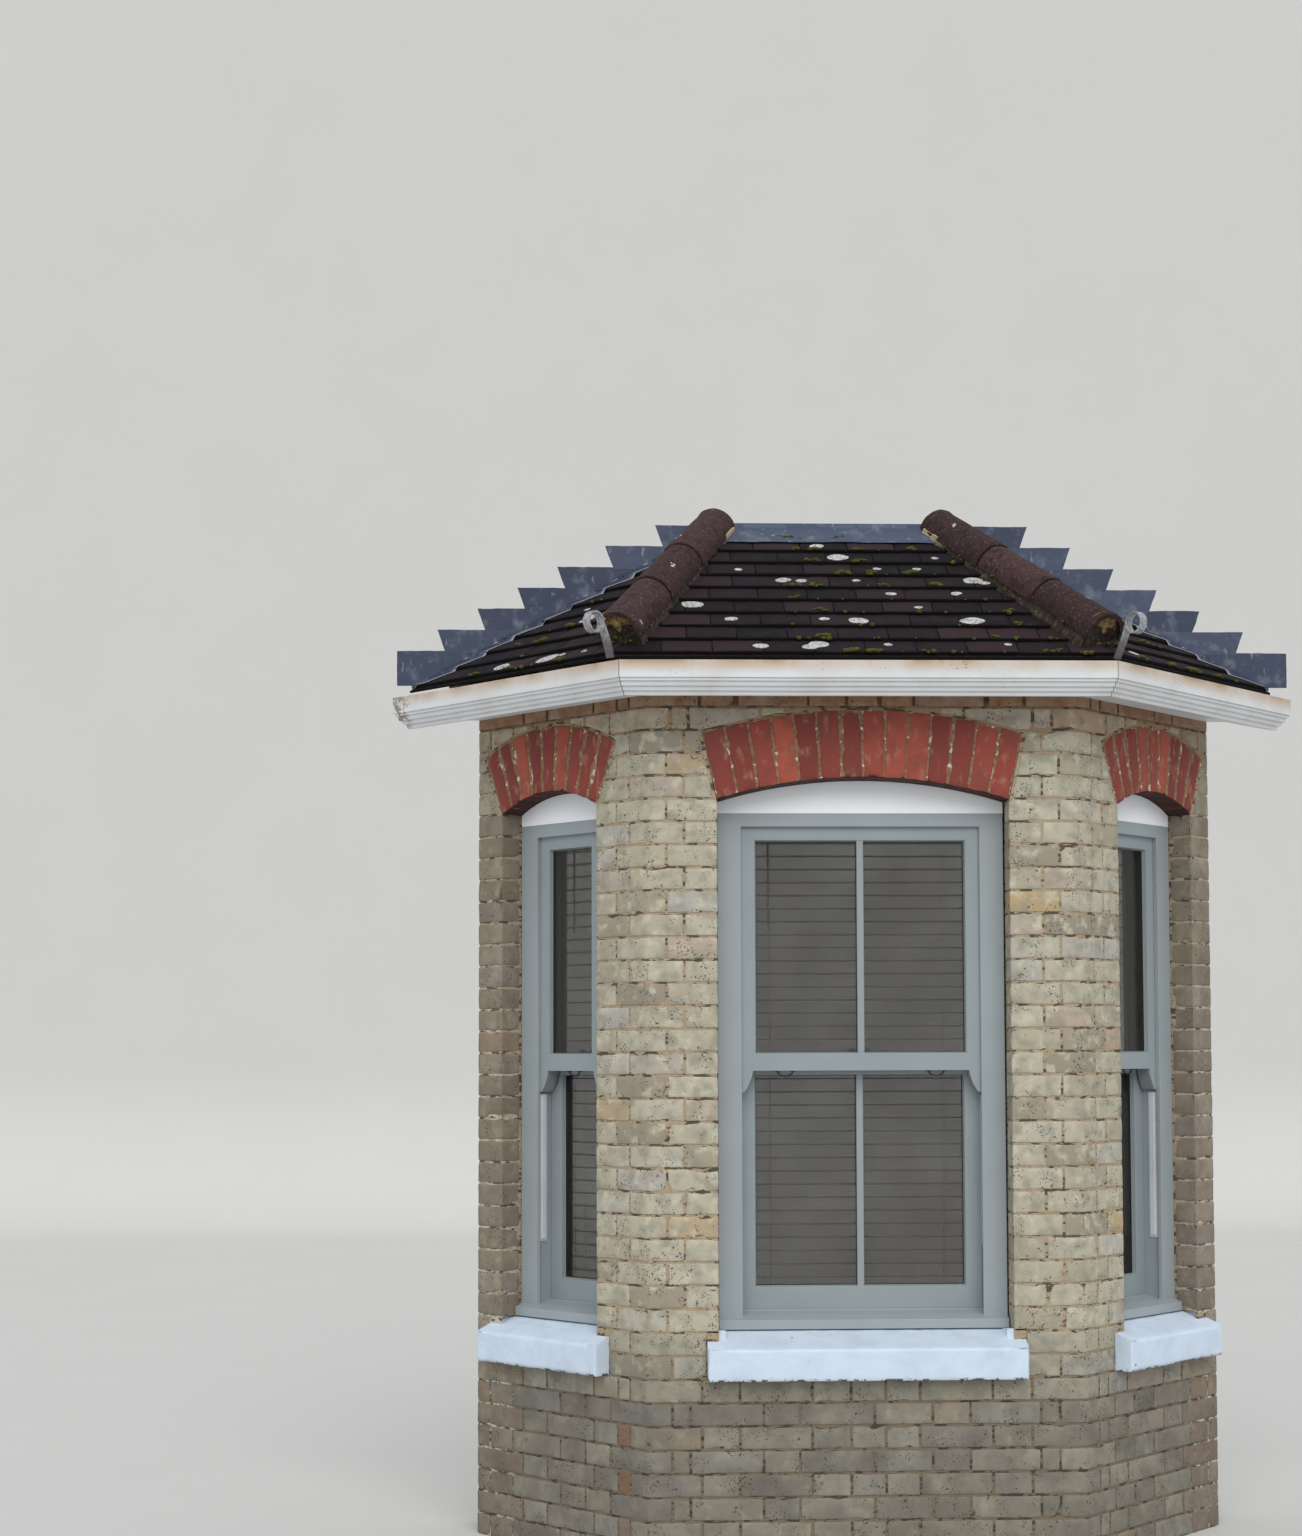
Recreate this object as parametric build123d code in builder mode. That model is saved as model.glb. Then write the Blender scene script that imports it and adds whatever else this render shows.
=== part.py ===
# Canted bay window: brick bay, three sash windows, hipped tiled roof and gutter.
# Millimetres. X runs along the house wall, Y into the house, Z up from the ground.
from build123d import *
from collections import namedtuple
from math import atan2, ceil, cos, degrees, radians, sin, sqrt, tan
import os

# Plan: sides canted from the front, outer face of the house wall at Y = 0, cut off at its inner face
cant_angle = 45
wall_thickness = 215
outer_leaf = 108
plaster_thickness = 20
house_wall = 215

# Levels, on brick courses
course = 75
sill_seat = 8 * course
sill_top = 10 * course
floor_top = 150
ceiling_thickness = 12.5

# Window openings and the brick piers beside them
front_opening = 955
front_pier = 230
side_opening = 465
side_corner_pier = 234
side_wall_pier = 121
front_recess = 103
side_recess = 88
frame_gap = 4
head_height = 2437

# Arches of red brick over the openings
spring_above_head = 36
front_arch_rise = 72
side_arch_rise = 62
arch_depth = 222
front_skew_reach = 48
side_skew_reach = 88
brick_over_arch = 83
infill_thickness = 18

# Stone sills with stooled ends
sill_projection = 40
sill_depth_in = 150
front_sill_ear = 38
side_sill_ear = 92
stool_length = 62
sill_nose_height = 98
sill_nose_drop = 28
sill_back_drop = 5

# Box frames with timber sills
frame_depth = 144
jamb_width = 79
head_width = 44
lining = 16
channel = 10
timber_sill_nose = 28
timber_sill_front = 30
timber_sill_middle = 42
timber_sill_back = 50
timber_sill_height = 54

# Sashes, their horns and their sealed double panes
sash_thickness = 52
parting = 8
stile_sight = 46
meeting_bottom = 1588
meeting_rail = 57
meeting_step = 5
lower_rail_drop = 12
bottom_rail_sight = 73
sash_side_gap = 1
horn_height = 72
horn_foot = 16
horn_root = 8
horn_waist = 18
glass_thickness = 24
glass_setback = 14
glass_bite = 8

# Lintels and window boards inside
lintel_height = 150
lintel_bearing = 100
lintel_front = 125
board_thickness = 22
board_reach = 292
board_ear = 40

# Venetian blinds
headrail_height = 40
headrail_depth = 50
slat_width = 50
slat_thickness = 3
slat_pitch = 44
slat_setback = 1
cord_size = 3
front_ladder = 292
side_ladder = 110
blind_side_gap = 12

# Roof: overhang of each slope, pitch and seat of the front one, and where the hips meet the wall
eaves_reach = {"left": 171, "front": 130, "right": 161}
front_pitch = 38.7
birdsmouth = 45.8
left_hip_top = 467
right_hip_top = 350
tile_layer = 60
eaves_tile_layer = 26
tile_gauge = 92
tile_step = 12

# Roof timbers
plate_width = 100
plate_height = 75
plate_inset = 15
bressummer_height = 225
rafter_depth = 75
rafter_width = 50
rafter_spacing = 400
hip_rafter_depth = 100
hip_tail_depth = 60
ledger_thickness = 50
ledger_height = 150

# Eaves boards, below the tiled surface at the eaves
fascia_back = 75
fascia_thickness = 20
fascia_drop = 146
soffit_drop = 142
soffit_thickness = 12

# Moulded gutter: upper band, two rolls and a foot
gutter_width = 118
gutter_height = 108
gutter_drop = 151
gutter_wall = 3
gutter_band = 52
gutter_roll_face = 111
gutter_roll_foot = 44
gutter_cove_face = 100
gutter_cove_foot = 25
gutter_toe_face = 82
gutter_foot = 56
gutter_ledge = 4
gutter_toe_round = 26
gutter_roll_round = 9

# Hip tiles and hip irons
hip_tile_radius = 80
hip_tile_taper = 6
hip_tile_count = 3
hip_tile_start = 55
hip_tile_wall = 14
hip_foot_lift = 30
hip_top_drop = 18
hip_bed_inset = 8
hip_foot_bed = 62
hip_top_bed = 26
iron_width = 25
iron_thickness = 5
iron_seat = 41
iron_toe = 4
iron_reach = 80
iron_rise = 98
iron_scroll = 32

# Lead
lead_thickness = 3
lead_lap = 130
lead_end = 1574
first_step = 124
step_rake = 30
apron_lap = 90
apron_upstand = 15

# Fasteners and finger pulls
fastener_base = (64, 6)
fastener_body = (34, 16)
fastener_depth = 18
pull_radius = 19
pull_hole = 13
pull_depth = 8
front_pull_reach = 250

# Worked-out plan sizes
front_width = front_opening + 2 * front_pier
side_width = side_corner_pier + side_opening + side_wall_pier
cant_run = side_width * cos(radians(cant_angle))
bay_depth = side_width * sin(radians(cant_angle))
back_width = front_width + 2 * cant_run
corner_shift = tan(radians(cant_angle / 2))
back_shift = 1 / sin(radians(cant_angle))
inner_face = wall_thickness + plaster_thickness
eaves_depth = bay_depth + eaves_reach["front"]
fascia_face = fascia_back + fascia_thickness

# Worked-out levels
arch_spring = head_height + spring_above_head
wall_top = arch_spring + front_arch_rise + arch_depth + brick_over_arch
plate_top = wall_top + plate_height
pitch_rise = tan(radians(front_pitch))
rafter_layers = (tile_layer + rafter_depth) / cos(radians(front_pitch))
eaves_height = plate_top + rafter_layers - birdsmouth - (eaves_reach["front"] + plate_inset) * pitch_rise
ridge_height = eaves_height + eaves_depth * pitch_rise
meeting_top = meeting_bottom + meeting_rail


def outline(offset, back=0):
    # Plan corners of the bay, offset outward, from left back to right back
    half_back = back_width / 2 + offset * back_shift + back / tan(radians(cant_angle))
    half_front = front_width / 2 + offset * corner_shift
    front = -bay_depth - offset
    return [(-half_back, back), (-half_front, front), (half_front, front), (half_back, back)]


def face_plane(face):
    # Vertical plane on a brick face: x along the face, y up, z outward
    turn = {"left": -cant_angle, "front": 0, "right": cant_angle}[face]
    corners = outline(0)
    first = {"left": 0, "front": 1, "right": 2}[face]
    start, end = corners[first], corners[first + 1]
    middle = ((start[0] + end[0]) / 2, (start[1] + end[1]) / 2, 0)
    along = (cos(radians(turn)), sin(radians(turn)), 0)
    outward = (sin(radians(turn)), -cos(radians(turn)), 0)
    return Plane(origin=middle, x_dir=along, z_dir=outward)


Window = namedtuple("Window", "width middle recess rise skew ear")


def window(face):
    # The opening of a face: width, middle along the face, recess, arch rise, skew of its ends, sill ear
    if face == "front":
        return Window(front_opening, 0, front_recess, front_arch_rise, front_skew_reach, front_sill_ear)
    middle = side_corner_pier + side_opening / 2 - side_width / 2
    if face == "left":
        middle = -middle
    return Window(side_opening, middle, side_recess, side_arch_rise, side_skew_reach, side_sill_ear)


def plan_ring(outer, inner, back=0):
    # Band round the bay between two offsets, mitred at the corners
    Polygon(*outline(outer, back), *reversed(outline(inner, back)), align=None)


def plan_wall(face):
    # Plan of one brick wall; each side wall turns in to the house wall's inner face
    outer = outline(0)
    inner = outline(-wall_thickness, house_wall)
    if face == "front":
        Polygon(outer[1], outer[2], inner[2], inner[1], align=None)
    elif face == "left":
        Polygon(outer[0], outer[1], inner[1], inner[0], (outer[0][0], house_wall), align=None)
    else:
        Polygon(outer[2], outer[3], (outer[3][0], house_wall), inner[3], inner[2], align=None)


def save(part, label):
    part.label = label
    export_step(part, f"parts/{label}.step")


def largest(part):
    # The main solid, where a cut leaves slivers beside it
    return part.solids().sort_by(SortBy.VOLUME)[-1]


os.makedirs("parts", exist_ok=True)
faces = ["left", "front", "right"]


# Brick walls, arches and stone sills
def arch_shape(face):
    # Ring between soffit and back of the arch, cut by its skewbacks
    opening = window(face)
    half = opening.width / 2
    crown = arch_spring + opening.rise
    soffit_radius = (half**2 + opening.rise**2) / (2 * opening.rise)
    back_half = half + opening.skew
    back_end = crown - soffit_radius + sqrt((soffit_radius + arch_depth)**2 - back_half**2)
    with BuildSketch() as shape:
        with BuildLine():
            ThreePointArc((-back_half, back_end), (0, crown + arch_depth), (back_half, back_end))
            Line((back_half, back_end), (half, arch_spring))
            ThreePointArc((half, arch_spring), (0, crown), (-half, arch_spring))
            Line((-half, arch_spring), (-back_half, back_end))
        make_face()
    return shape.sketch


def under_arch(face, gap, bottom):
    # Space under the soffit down to a level, less a gap all round
    opening = window(face)
    half = opening.width / 2
    with BuildSketch() as shape:
        with BuildLine():
            arc = ThreePointArc((-half, arch_spring), (0, arch_spring + opening.rise), (half, arch_spring))
            Polyline(arc @ 1, (half, bottom), (-half, bottom), arc @ 0)
        make_face()
        with BuildSketch(mode=Mode.PRIVATE) as band:
            Rectangle(2 * half - 2 * gap, 4 * head_height)
        add(band.sketch, mode=Mode.INTERSECT)
    return shape.sketch


def sill_profile(recess, stooled):
    # Section through a stone sill: x outward from the brick face, y up
    with BuildSketch() as shape:
        with BuildLine():
            if stooled:
                Polyline((sill_projection, sill_seat), (sill_projection, sill_top - sill_nose_drop),
                         (0, sill_top), (-sill_depth_in, sill_top), (-sill_depth_in, sill_seat), close=True)
            else:
                Polyline((sill_projection, sill_seat), (sill_projection, sill_seat + sill_nose_height),
                         (-recess + timber_sill_nose, sill_top - sill_back_drop), (-recess, sill_top),
                         (-sill_depth_in, sill_top), (-sill_depth_in, sill_seat), close=True)
        make_face()
    return shape.sketch


def section_plane(face, along):
    # Upright plane square to a face at a distance along it: x outward, y up
    plane = face_plane(face)
    return Plane(origin=plane.from_local_coords((along, 0, 0)), x_dir=plane.z_dir, z_dir=-plane.x_dir)


for face in faces:
    opening = window(face)
    plane = face_plane(face)
    sill_length = opening.width + 2 * opening.ear

    with BuildPart() as arch:
        with BuildSketch(plane):
            with Locations((opening.middle, 0)):
                add(arch_shape(face))
        extrude(amount=-outer_leaf)
    save(arch.part, f"{face}_arch")

    with BuildPart() as sill:
        with BuildSketch(section_plane(face, opening.middle)):
            add(sill_profile(opening.recess, stooled=False))
        extrude(amount=sill_length / 2, both=True)
        stool_middle = (sill_length - stool_length) / 2
        for side in (-1, 1):
            with BuildSketch(section_plane(face, opening.middle + side * stool_middle)):
                add(sill_profile(opening.recess, stooled=True))
            extrude(amount=stool_length / 2, both=True)
    save(sill.part, f"{face}_sill")

    with BuildPart() as wall:
        with BuildSketch():
            plan_wall(face)
        extrude(amount=wall_top)
        with BuildSketch(plane):
            with Locations((opening.middle, 0)):
                add(arch_shape(face))
                add(under_arch(face, 0, sill_top))
        extrude(amount=-outer_leaf, mode=Mode.SUBTRACT)
        with BuildSketch(plane.offset(-outer_leaf)):
            with Locations((opening.middle, (sill_top + head_height + lintel_height) / 2)):
                Rectangle(opening.width, head_height + lintel_height - sill_top)
        extrude(amount=-wall_thickness, mode=Mode.SUBTRACT)
        with BuildSketch(plane.offset(-lintel_front)):
            with Locations((opening.middle, head_height + lintel_height / 2)):
                Rectangle(opening.width + 2 * lintel_bearing, lintel_height)
        extrude(amount=-wall_thickness, mode=Mode.SUBTRACT)
        with BuildSketch(plane):
            with Locations((opening.middle, (sill_seat + sill_top) / 2)):
                Rectangle(sill_length, sill_top - sill_seat)
        extrude(amount=-sill_depth_in, mode=Mode.SUBTRACT)
    save(wall.part, f"{face}_wall")

with BuildPart() as lintels:
    for face in faces:
        opening = window(face)
        with BuildSketch(face_plane(face).offset(-lintel_front)):
            with Locations((opening.middle, head_height + lintel_height / 2)):
                Rectangle(opening.width + 2 * lintel_bearing, lintel_height)
        extrude(amount=lintel_front - wall_thickness)
save(lintels.part, "window_lintels")

with BuildPart() as infills:
    for face in faces:
        opening = window(face)
        with BuildSketch(face_plane(face).offset(-opening.recess)):
            with Locations((opening.middle, 0)):
                add(under_arch(face, frame_gap, head_height))
        extrude(amount=-infill_thickness)
save(infills.part, "head_infills")

# Box frames, sashes and glass
lower_sash_front = lining + sash_thickness + parting
lower_top = meeting_top - meeting_step


def sash_outline(face):
    # Half width of the sash and of its daylight opening
    width = window(face).width
    sash_half = width / 2 - frame_gap - jamb_width + channel - sash_side_gap
    light_half = width / 2 - frame_gap - jamb_width - stile_sight
    return sash_half, light_half


def make_sash(face, front, bottom, top, light_bottom, light_top, horned):
    # Rails and stiles round one pane, with the pane's rebate cut from the back
    plane = face_plane(face).offset(-front)
    middle = window(face).middle
    sash_half, light_half = sash_outline(face)
    with BuildPart() as sash:
        with BuildSketch(plane):
            with Locations((middle, (bottom + top) / 2)):
                Rectangle(2 * sash_half, top - bottom)
            if horned:
                for side in (-1, 1):
                    outer = middle + side * sash_half
                    root = middle + side * (light_half + horn_root)
                    waist = middle + side * (light_half + horn_waist)
                    with BuildLine():
                        edge = Line((outer, bottom), (outer, bottom - horn_height))
                        foot = Line(edge @ 1, (outer - side * horn_foot, bottom - horn_height))
                        Spline(foot @ 1, (waist, bottom - horn_height / 2), (root, bottom))
                        Line((root, bottom), edge @ 0)
                    make_face()
        extrude(amount=-sash_thickness)
        with BuildSketch(plane):
            with Locations((middle, (light_bottom + light_top) / 2)):
                Rectangle(2 * light_half, light_top - light_bottom)
        extrude(amount=-sash_thickness, mode=Mode.SUBTRACT)
        with BuildSketch(plane.offset(-glass_setback)):
            with Locations((middle, (light_bottom + light_top) / 2)):
                Rectangle(2 * light_half + 2 * glass_bite, light_top - light_bottom + 2 * glass_bite)
        extrude(amount=-glass_thickness, mode=Mode.SUBTRACT)
    return sash.part


def make_pane(face, front, light_bottom, light_top):
    middle = window(face).middle
    light_half = sash_outline(face)[1]
    with BuildPart() as pane:
        with BuildSketch(face_plane(face).offset(-front - glass_setback)):
            with Locations((middle, (light_bottom + light_top) / 2)):
                Rectangle(2 * light_half + 2 * glass_bite, light_top - light_bottom + 2 * glass_bite)
        extrude(amount=-glass_thickness)
    return pane.part


for face in faces:
    opening = window(face)
    plane = face_plane(face).offset(-opening.recess)
    outer_half = opening.width / 2 - frame_gap
    sight_half = outer_half - jamb_width
    head_sight = head_height - head_width

    with BuildPart() as frame:
        with BuildSketch(plane):
            with Locations((opening.middle, (sill_top + head_height) / 2)):
                Rectangle(2 * outer_half, head_height - sill_top)
            with Locations((opening.middle, (sill_top + head_sight) / 2)):
                Rectangle(2 * sight_half, head_sight - sill_top, mode=Mode.SUBTRACT)
        extrude(amount=-frame_depth)
        with BuildSketch(plane.offset(-lining)):
            with Locations((opening.middle, (sill_top + head_sight + channel) / 2)):
                Rectangle(2 * (sight_half + channel), head_sight + channel - sill_top)
        extrude(amount=2 * lining - frame_depth, mode=Mode.SUBTRACT)
        with BuildSketch(section_plane(face, opening.middle)):
            with BuildLine():
                Polyline((timber_sill_nose - opening.recess, sill_top),
                         (timber_sill_nose - opening.recess, sill_top + timber_sill_front),
                         (-opening.recess - lining, sill_top + timber_sill_middle),
                         (-opening.recess - lower_sash_front, sill_top + timber_sill_back),
                         (-opening.recess - lower_sash_front, sill_top + timber_sill_height),
                         (-opening.recess - frame_depth, sill_top + timber_sill_height),
                         (-opening.recess - frame_depth, sill_top), close=True)
            make_face()
        extrude(amount=outer_half, both=True)
    save(frame.part, f"{face}_box_frame")

    upper_front = opening.recess + lining
    lower_front = opening.recess + lower_sash_front
    head_inside = head_sight + channel
    lower_bottom = sill_top + timber_sill_height
    upper_light = (meeting_top, head_sight - head_width)
    lower_light = (lower_bottom + bottom_rail_sight, meeting_bottom - lower_rail_drop)
    upper = make_sash(face, upper_front, meeting_bottom, head_inside, *upper_light, horned=True)
    save(upper, f"{face}_upper_sash")
    lower = make_sash(face, lower_front, lower_bottom, lower_top, *lower_light, horned=False)
    save(lower, f"{face}_lower_sash")
    with BuildPart() as glass:
        add(make_pane(face, upper_front, *upper_light))
        add(make_pane(face, lower_front, *lower_light))
    save(glass.part, f"{face}_glass")

# Venetian blinds hung on the inner faces of the frames
with BuildPart() as blinds:
    for face in faces:
        opening = window(face)
        inside = face_plane(face).offset(-opening.recess - frame_depth)
        blind_width = opening.width - 2 * frame_gap - 2 * blind_side_gap
        ladder = front_ladder if face == "front" else side_ladder
        headrail_bottom = head_height - headrail_height
        slat_top = headrail_bottom - slat_pitch
        slat_count = int((slat_top - sill_top - timber_sill_height) / slat_pitch)
        cord_length = slat_count * slat_pitch
        with BuildSketch(inside):
            with Locations((opening.middle, head_height - headrail_height / 2)):
                Rectangle(blind_width, headrail_height)
        extrude(amount=-headrail_depth)
        with BuildSketch(inside.offset(-slat_setback)):
            with Locations((opening.middle, slat_top - (slat_count - 1) * slat_pitch / 2)):
                with GridLocations(0, slat_pitch, 1, slat_count):
                    Rectangle(blind_width, slat_thickness)
        extrude(amount=2 * slat_setback - slat_width)
        with BuildSketch(inside):
            with Locations((opening.middle, headrail_bottom - cord_length / 2)):
                with GridLocations(2 * ladder, 0, 2, 1):
                    Rectangle(cord_size, cord_length)
        extrude(amount=-cord_size)
save(blinds.part, "blinds")

with BuildPart() as boards:
    for face in faces:
        opening = window(face)
        with BuildSketch(face_plane(face).offset(-opening.recess - frame_depth)):
            with Locations((opening.middle, sill_top + board_thickness / 2)):
                Rectangle(opening.width + 2 * board_ear, board_thickness)
        extrude(amount=opening.recess + frame_depth - board_reach)
save(boards.part, "window_boards")

# Inside: plaster, ceiling and floor
with BuildPart() as plaster:
    with BuildSketch(Plane.XY.offset(floor_top)):
        plan_ring(-wall_thickness, -inner_face, house_wall)
    extrude(amount=wall_top - floor_top)
    for face in faces:
        opening = window(face)
        with BuildSketch(face_plane(face)):
            with Locations((opening.middle, (sill_top + head_height) / 2)):
                Rectangle(opening.width, head_height - sill_top)
        extrude(amount=-2 * wall_thickness, mode=Mode.SUBTRACT)
        with BuildSketch(face_plane(face).offset(-wall_thickness)):
            with Locations((opening.middle, sill_top + board_thickness / 2)):
                Rectangle(opening.width + 2 * board_ear, board_thickness)
        extrude(amount=-wall_thickness, mode=Mode.SUBTRACT)
save(plaster.part, "wall_plaster")

with BuildPart() as ceiling:
    with BuildSketch(Plane.XY.offset(wall_top)):
        Polygon(*outline(-inner_face, house_wall), align=None)
    extrude(amount=-ceiling_thickness)
save(ceiling.part, "ceiling")

with BuildPart() as floor:
    with BuildSketch():
        Polygon(*outline(-wall_thickness, house_wall), align=None)
    extrude(amount=floor_top)
save(floor.part, "floor")

# Roof planes: each slope rises from the eaves line to the wall
hip_tops = {"left": (-left_hip_top, 0), "right": (right_hip_top, 0)}


def eaves_line():
    # Plan corners of the tiled eaves, from left back to right back
    left_back, left_front = outline(eaves_reach["left"])[:2]
    right_front, right_back = outline(eaves_reach["right"])[2:]
    left_shift = (eaves_reach["left"] - eaves_reach["front"]) / tan(radians(cant_angle))
    right_shift = (eaves_reach["right"] - eaves_reach["front"]) / tan(radians(cant_angle))
    left_corner = (left_front[0] - left_shift, -eaves_depth)
    right_corner = (right_front[0] + right_shift, -eaves_depth)
    return [left_back, left_corner, right_corner, right_back]


def slope_plan(face):
    # Plan corners of one roof slope
    corners = eaves_line()
    if face == "front":
        return [corners[1], corners[2], hip_tops["right"], hip_tops["left"]]
    if face == "left":
        return [corners[0], corners[1], hip_tops["left"]]
    return [corners[2], corners[3], hip_tops["right"]]


def slope_run(face):
    # Level distance from the eaves to the top of one slope
    if face == "front":
        return eaves_depth
    wall_end = eaves_line()[0 if face == "left" else 3]
    return abs(wall_end[0] - hip_tops[face][0]) * sin(radians(cant_angle))


def slope_rise(face):
    # Rise of the tiled surface for each millimetre in from the eaves
    return (ridge_height - eaves_height) / slope_run(face)


def surface_height(face, offset):
    # Height of the tiled surface at an offset outward from the brick face
    return eaves_height + (eaves_reach[face] - offset) * slope_rise(face)


def plumb_depth(face, thickness):
    # Upright depth of a layer of the slope
    return thickness / cos(atan2(slope_rise(face), 1))


def course_profile(face):
    # Section up one slope, with a step at the tail of each course of tiles
    rise = slope_rise(face)
    run = tile_gauge * cos(atan2(rise, 1))
    lift = plumb_depth(face, tile_step)
    depth = plumb_depth(face, tile_layer)
    points = []
    offset = eaves_reach[face]
    while offset > eaves_reach[face] - slope_run(face):
        level = surface_height(face, offset)
        points.append((offset, level - lift))
        points.append((offset, level))
        points.append((offset - run, level + rise * run - lift))
        offset -= run
    points = points[1:]
    with BuildSketch() as shape:
        Polygon(*points, (offset, surface_height(face, offset) - depth),
                (fascia_back, surface_height(face, fascia_back) - depth),
                (fascia_back, surface_height(face, fascia_back) - eaves_tile_layer),
                (eaves_reach[face], eaves_height - eaves_tile_layer), align=None)
    return shape.sketch


roof_tiles = {}
for face in faces:
    with BuildPart() as tiles:
        with BuildSketch(section_plane(face, 0)):
            add(course_profile(face))
        extrude(amount=2 * front_width, both=True)
        with BuildSketch():
            Polygon(*slope_plan(face), align=None)
        extrude(amount=2 * ridge_height, mode=Mode.INTERSECT)
    roof_tiles[face] = tiles.part
    save(tiles.part, f"{face}_roof_tiles")

def slope_layer(face, top_drop, bottom_drop, start, end):
    # Section of a layer of the slope, between two vertical drops below the tiled surface
    top = [(offset, surface_height(face, offset) - top_drop) for offset in (start, end)]
    bottom = [(offset, surface_height(face, offset) - bottom_drop) for offset in (end, start)]
    with BuildSketch() as shape:
        Polygon(*top, *bottom, align=None)
    return shape.sketch


def hip_plane(side):
    # Upright plane along a hip, from its foot at the eaves: x up the hip in plan, y up
    foot = eaves_line()[1 if side == "left" else 2]
    top = hip_tops[side]
    length = sqrt((top[0] - foot[0])**2 + (top[1] - foot[1])**2)
    along = ((top[0] - foot[0]) / length, (top[1] - foot[1]) / length, 0)
    return Plane(origin=(*foot, eaves_height), x_dir=along, z_dir=(along[1], -along[0], 0)), length


def hip_strip(side):
    # Plan of the strip that a hip rafter takes between the slopes
    foot = eaves_line()[1 if side == "left" else 2]
    top = hip_tops[side]
    with BuildSketch() as strip:
        turn = degrees(atan2(top[1] - foot[1], top[0] - foot[0]))
        with Locations(Location((*foot, 0), (0, 0, turn))):
            Rectangle(4 * bay_depth, rafter_width)
    return strip.sketch


def slope_timbers(face, plan):
    # Rafters or ledgers of one slope: the rafter layer cut to a plan between the hips
    rafter_top = plumb_depth(face, tile_layer)
    rafter_bottom = plumb_depth(face, tile_layer + rafter_depth)
    with BuildPart() as timbers:
        with BuildSketch(section_plane(face, 0)):
            add(slope_layer(face, rafter_top, rafter_bottom, fascia_back, -bay_depth))
        extrude(amount=front_width, both=True)
        with BuildSketch():
            add(plan)
            Polygon(*slope_plan(face), align=None, mode=Mode.INTERSECT)
            add([hip_strip("left"), hip_strip("right")], mode=Mode.SUBTRACT)
        extrude(amount=2 * ridge_height, mode=Mode.INTERSECT)
    return timbers.part


# Timbers: bressummer, wall plate, ceiling joists, ledgers, hips and rafters
with BuildPart() as bressummer:
    with Locations((0, house_wall / 2, wall_top + bressummer_height / 2)):
        Box(back_width, house_wall, bressummer_height)
save(bressummer.part, "bressummer")

with BuildPart() as plate:
    with BuildSketch(Plane.XY.offset(wall_top)):
        plan_ring(-plate_inset, -plate_inset - plate_width)
    extrude(amount=plate_height)
save(plate.part, "wall_plate")

with BuildPart() as joists:
    joist_length = bay_depth - plate_inset - plate_width
    with BuildSketch(Plane.XY.offset(wall_top)):
        with Locations((0, -joist_length / 2)):
            with GridLocations(rafter_spacing, 0, 4, 1):
                Rectangle(rafter_width, joist_length)
    extrude(amount=plate_height)
save(joists.part, "ceiling_joists")

ledger_top = surface_height("front", ledger_thickness - bay_depth) - plumb_depth("front", tile_layer)
ledger_middle = (right_hip_top - left_hip_top) / 2
with BuildPart() as front_ledger:
    with Locations((ledger_middle, -ledger_thickness / 2, ledger_top - ledger_height / 2)):
        Box(left_hip_top + right_hip_top, ledger_thickness, ledger_height)

with BuildPart() as ledgers:
    add(front_ledger.part)
    for side in ("left", "right"):
        with BuildSketch(mode=Mode.PRIVATE) as wall_strip:
            with Locations((0, -ledger_thickness / 2)):
                Rectangle(2 * back_width, ledger_thickness)
        add(slope_timbers(side, wall_strip.sketch))
    add(plate.part, mode=Mode.SUBTRACT)
save(ledgers.part, "wall_ledgers")

hip_rafter_drop = plumb_depth("front", tile_layer) + rafter_width / 2 * pitch_rise
with BuildPart() as hip_rafters:
    for side in ("left", "right"):
        plane, length = hip_plane(side)
        grade = (ridge_height - eaves_height) / length
        tail = max((eaves_reach[face] - fascia_back) / slope_run(face) for face in ("front", side))
        start = length * tail + rafter_width / 2
        end = length + rafter_width
        with BuildSketch(plane):
            with BuildLine():
                Polyline((start, start * grade - hip_rafter_drop), (end, end * grade - hip_rafter_drop),
                         (end, end * grade - hip_rafter_drop - hip_rafter_depth),
                         (start, start * grade - hip_rafter_drop - hip_tail_depth), close=True)
            make_face()
        extrude(amount=rafter_width / 2, both=True)
    add([plate.part, front_ledger.part], mode=Mode.SUBTRACT)
    split(bisect_by=Plane.XZ, keep=Keep.TOP)
save(hip_rafters.part, "hip_rafters")

with BuildPart() as rafters:
    for face in faces:
        turn = {"left": -cant_angle, "front": 0, "right": cant_angle}[face]
        foot = face_plane(face).origin
        with BuildSketch(mode=Mode.PRIVATE) as strips:
            with Locations(Location((foot.X, foot.Y, 0), (0, 0, turn))):
                with GridLocations(rafter_spacing, 0, 4 if face == "front" else 3, 1):
                    Rectangle(rafter_width, 4 * bay_depth)
            with Locations((0, -ledger_thickness / 2)):
                Rectangle(2 * back_width, ledger_thickness, mode=Mode.SUBTRACT)
        add(slope_timbers(face, strips.sketch))
    add(plate.part, mode=Mode.SUBTRACT)
save(rafters.part, "rafters")

fascia_bottom = eaves_height - fascia_drop
fascia_top = min(surface_height(face, fascia_back) - plumb_depth(face, tile_layer) for face in faces)
with BuildPart() as eaves:
    with BuildSketch(Plane.XY.offset(fascia_bottom)):
        plan_ring(fascia_face, fascia_back)
    extrude(amount=fascia_top - fascia_bottom)
    with BuildSketch(Plane.XY.offset(eaves_height - soffit_drop)):
        plan_ring(fascia_back, 0)
    extrude(amount=soffit_thickness)
save(eaves.part, "eaves_boards")


# Hip tiles, bedded on the slopes, and the scrolled hip irons at their feet
def half_round(radius):
    # Upper half of a circle
    with BuildSketch() as shape:
        Circle(radius)
        with Locations((0, -radius)):
            Rectangle(4 * radius, 2 * radius, mode=Mode.SUBTRACT)
    return shape.sketch


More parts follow.
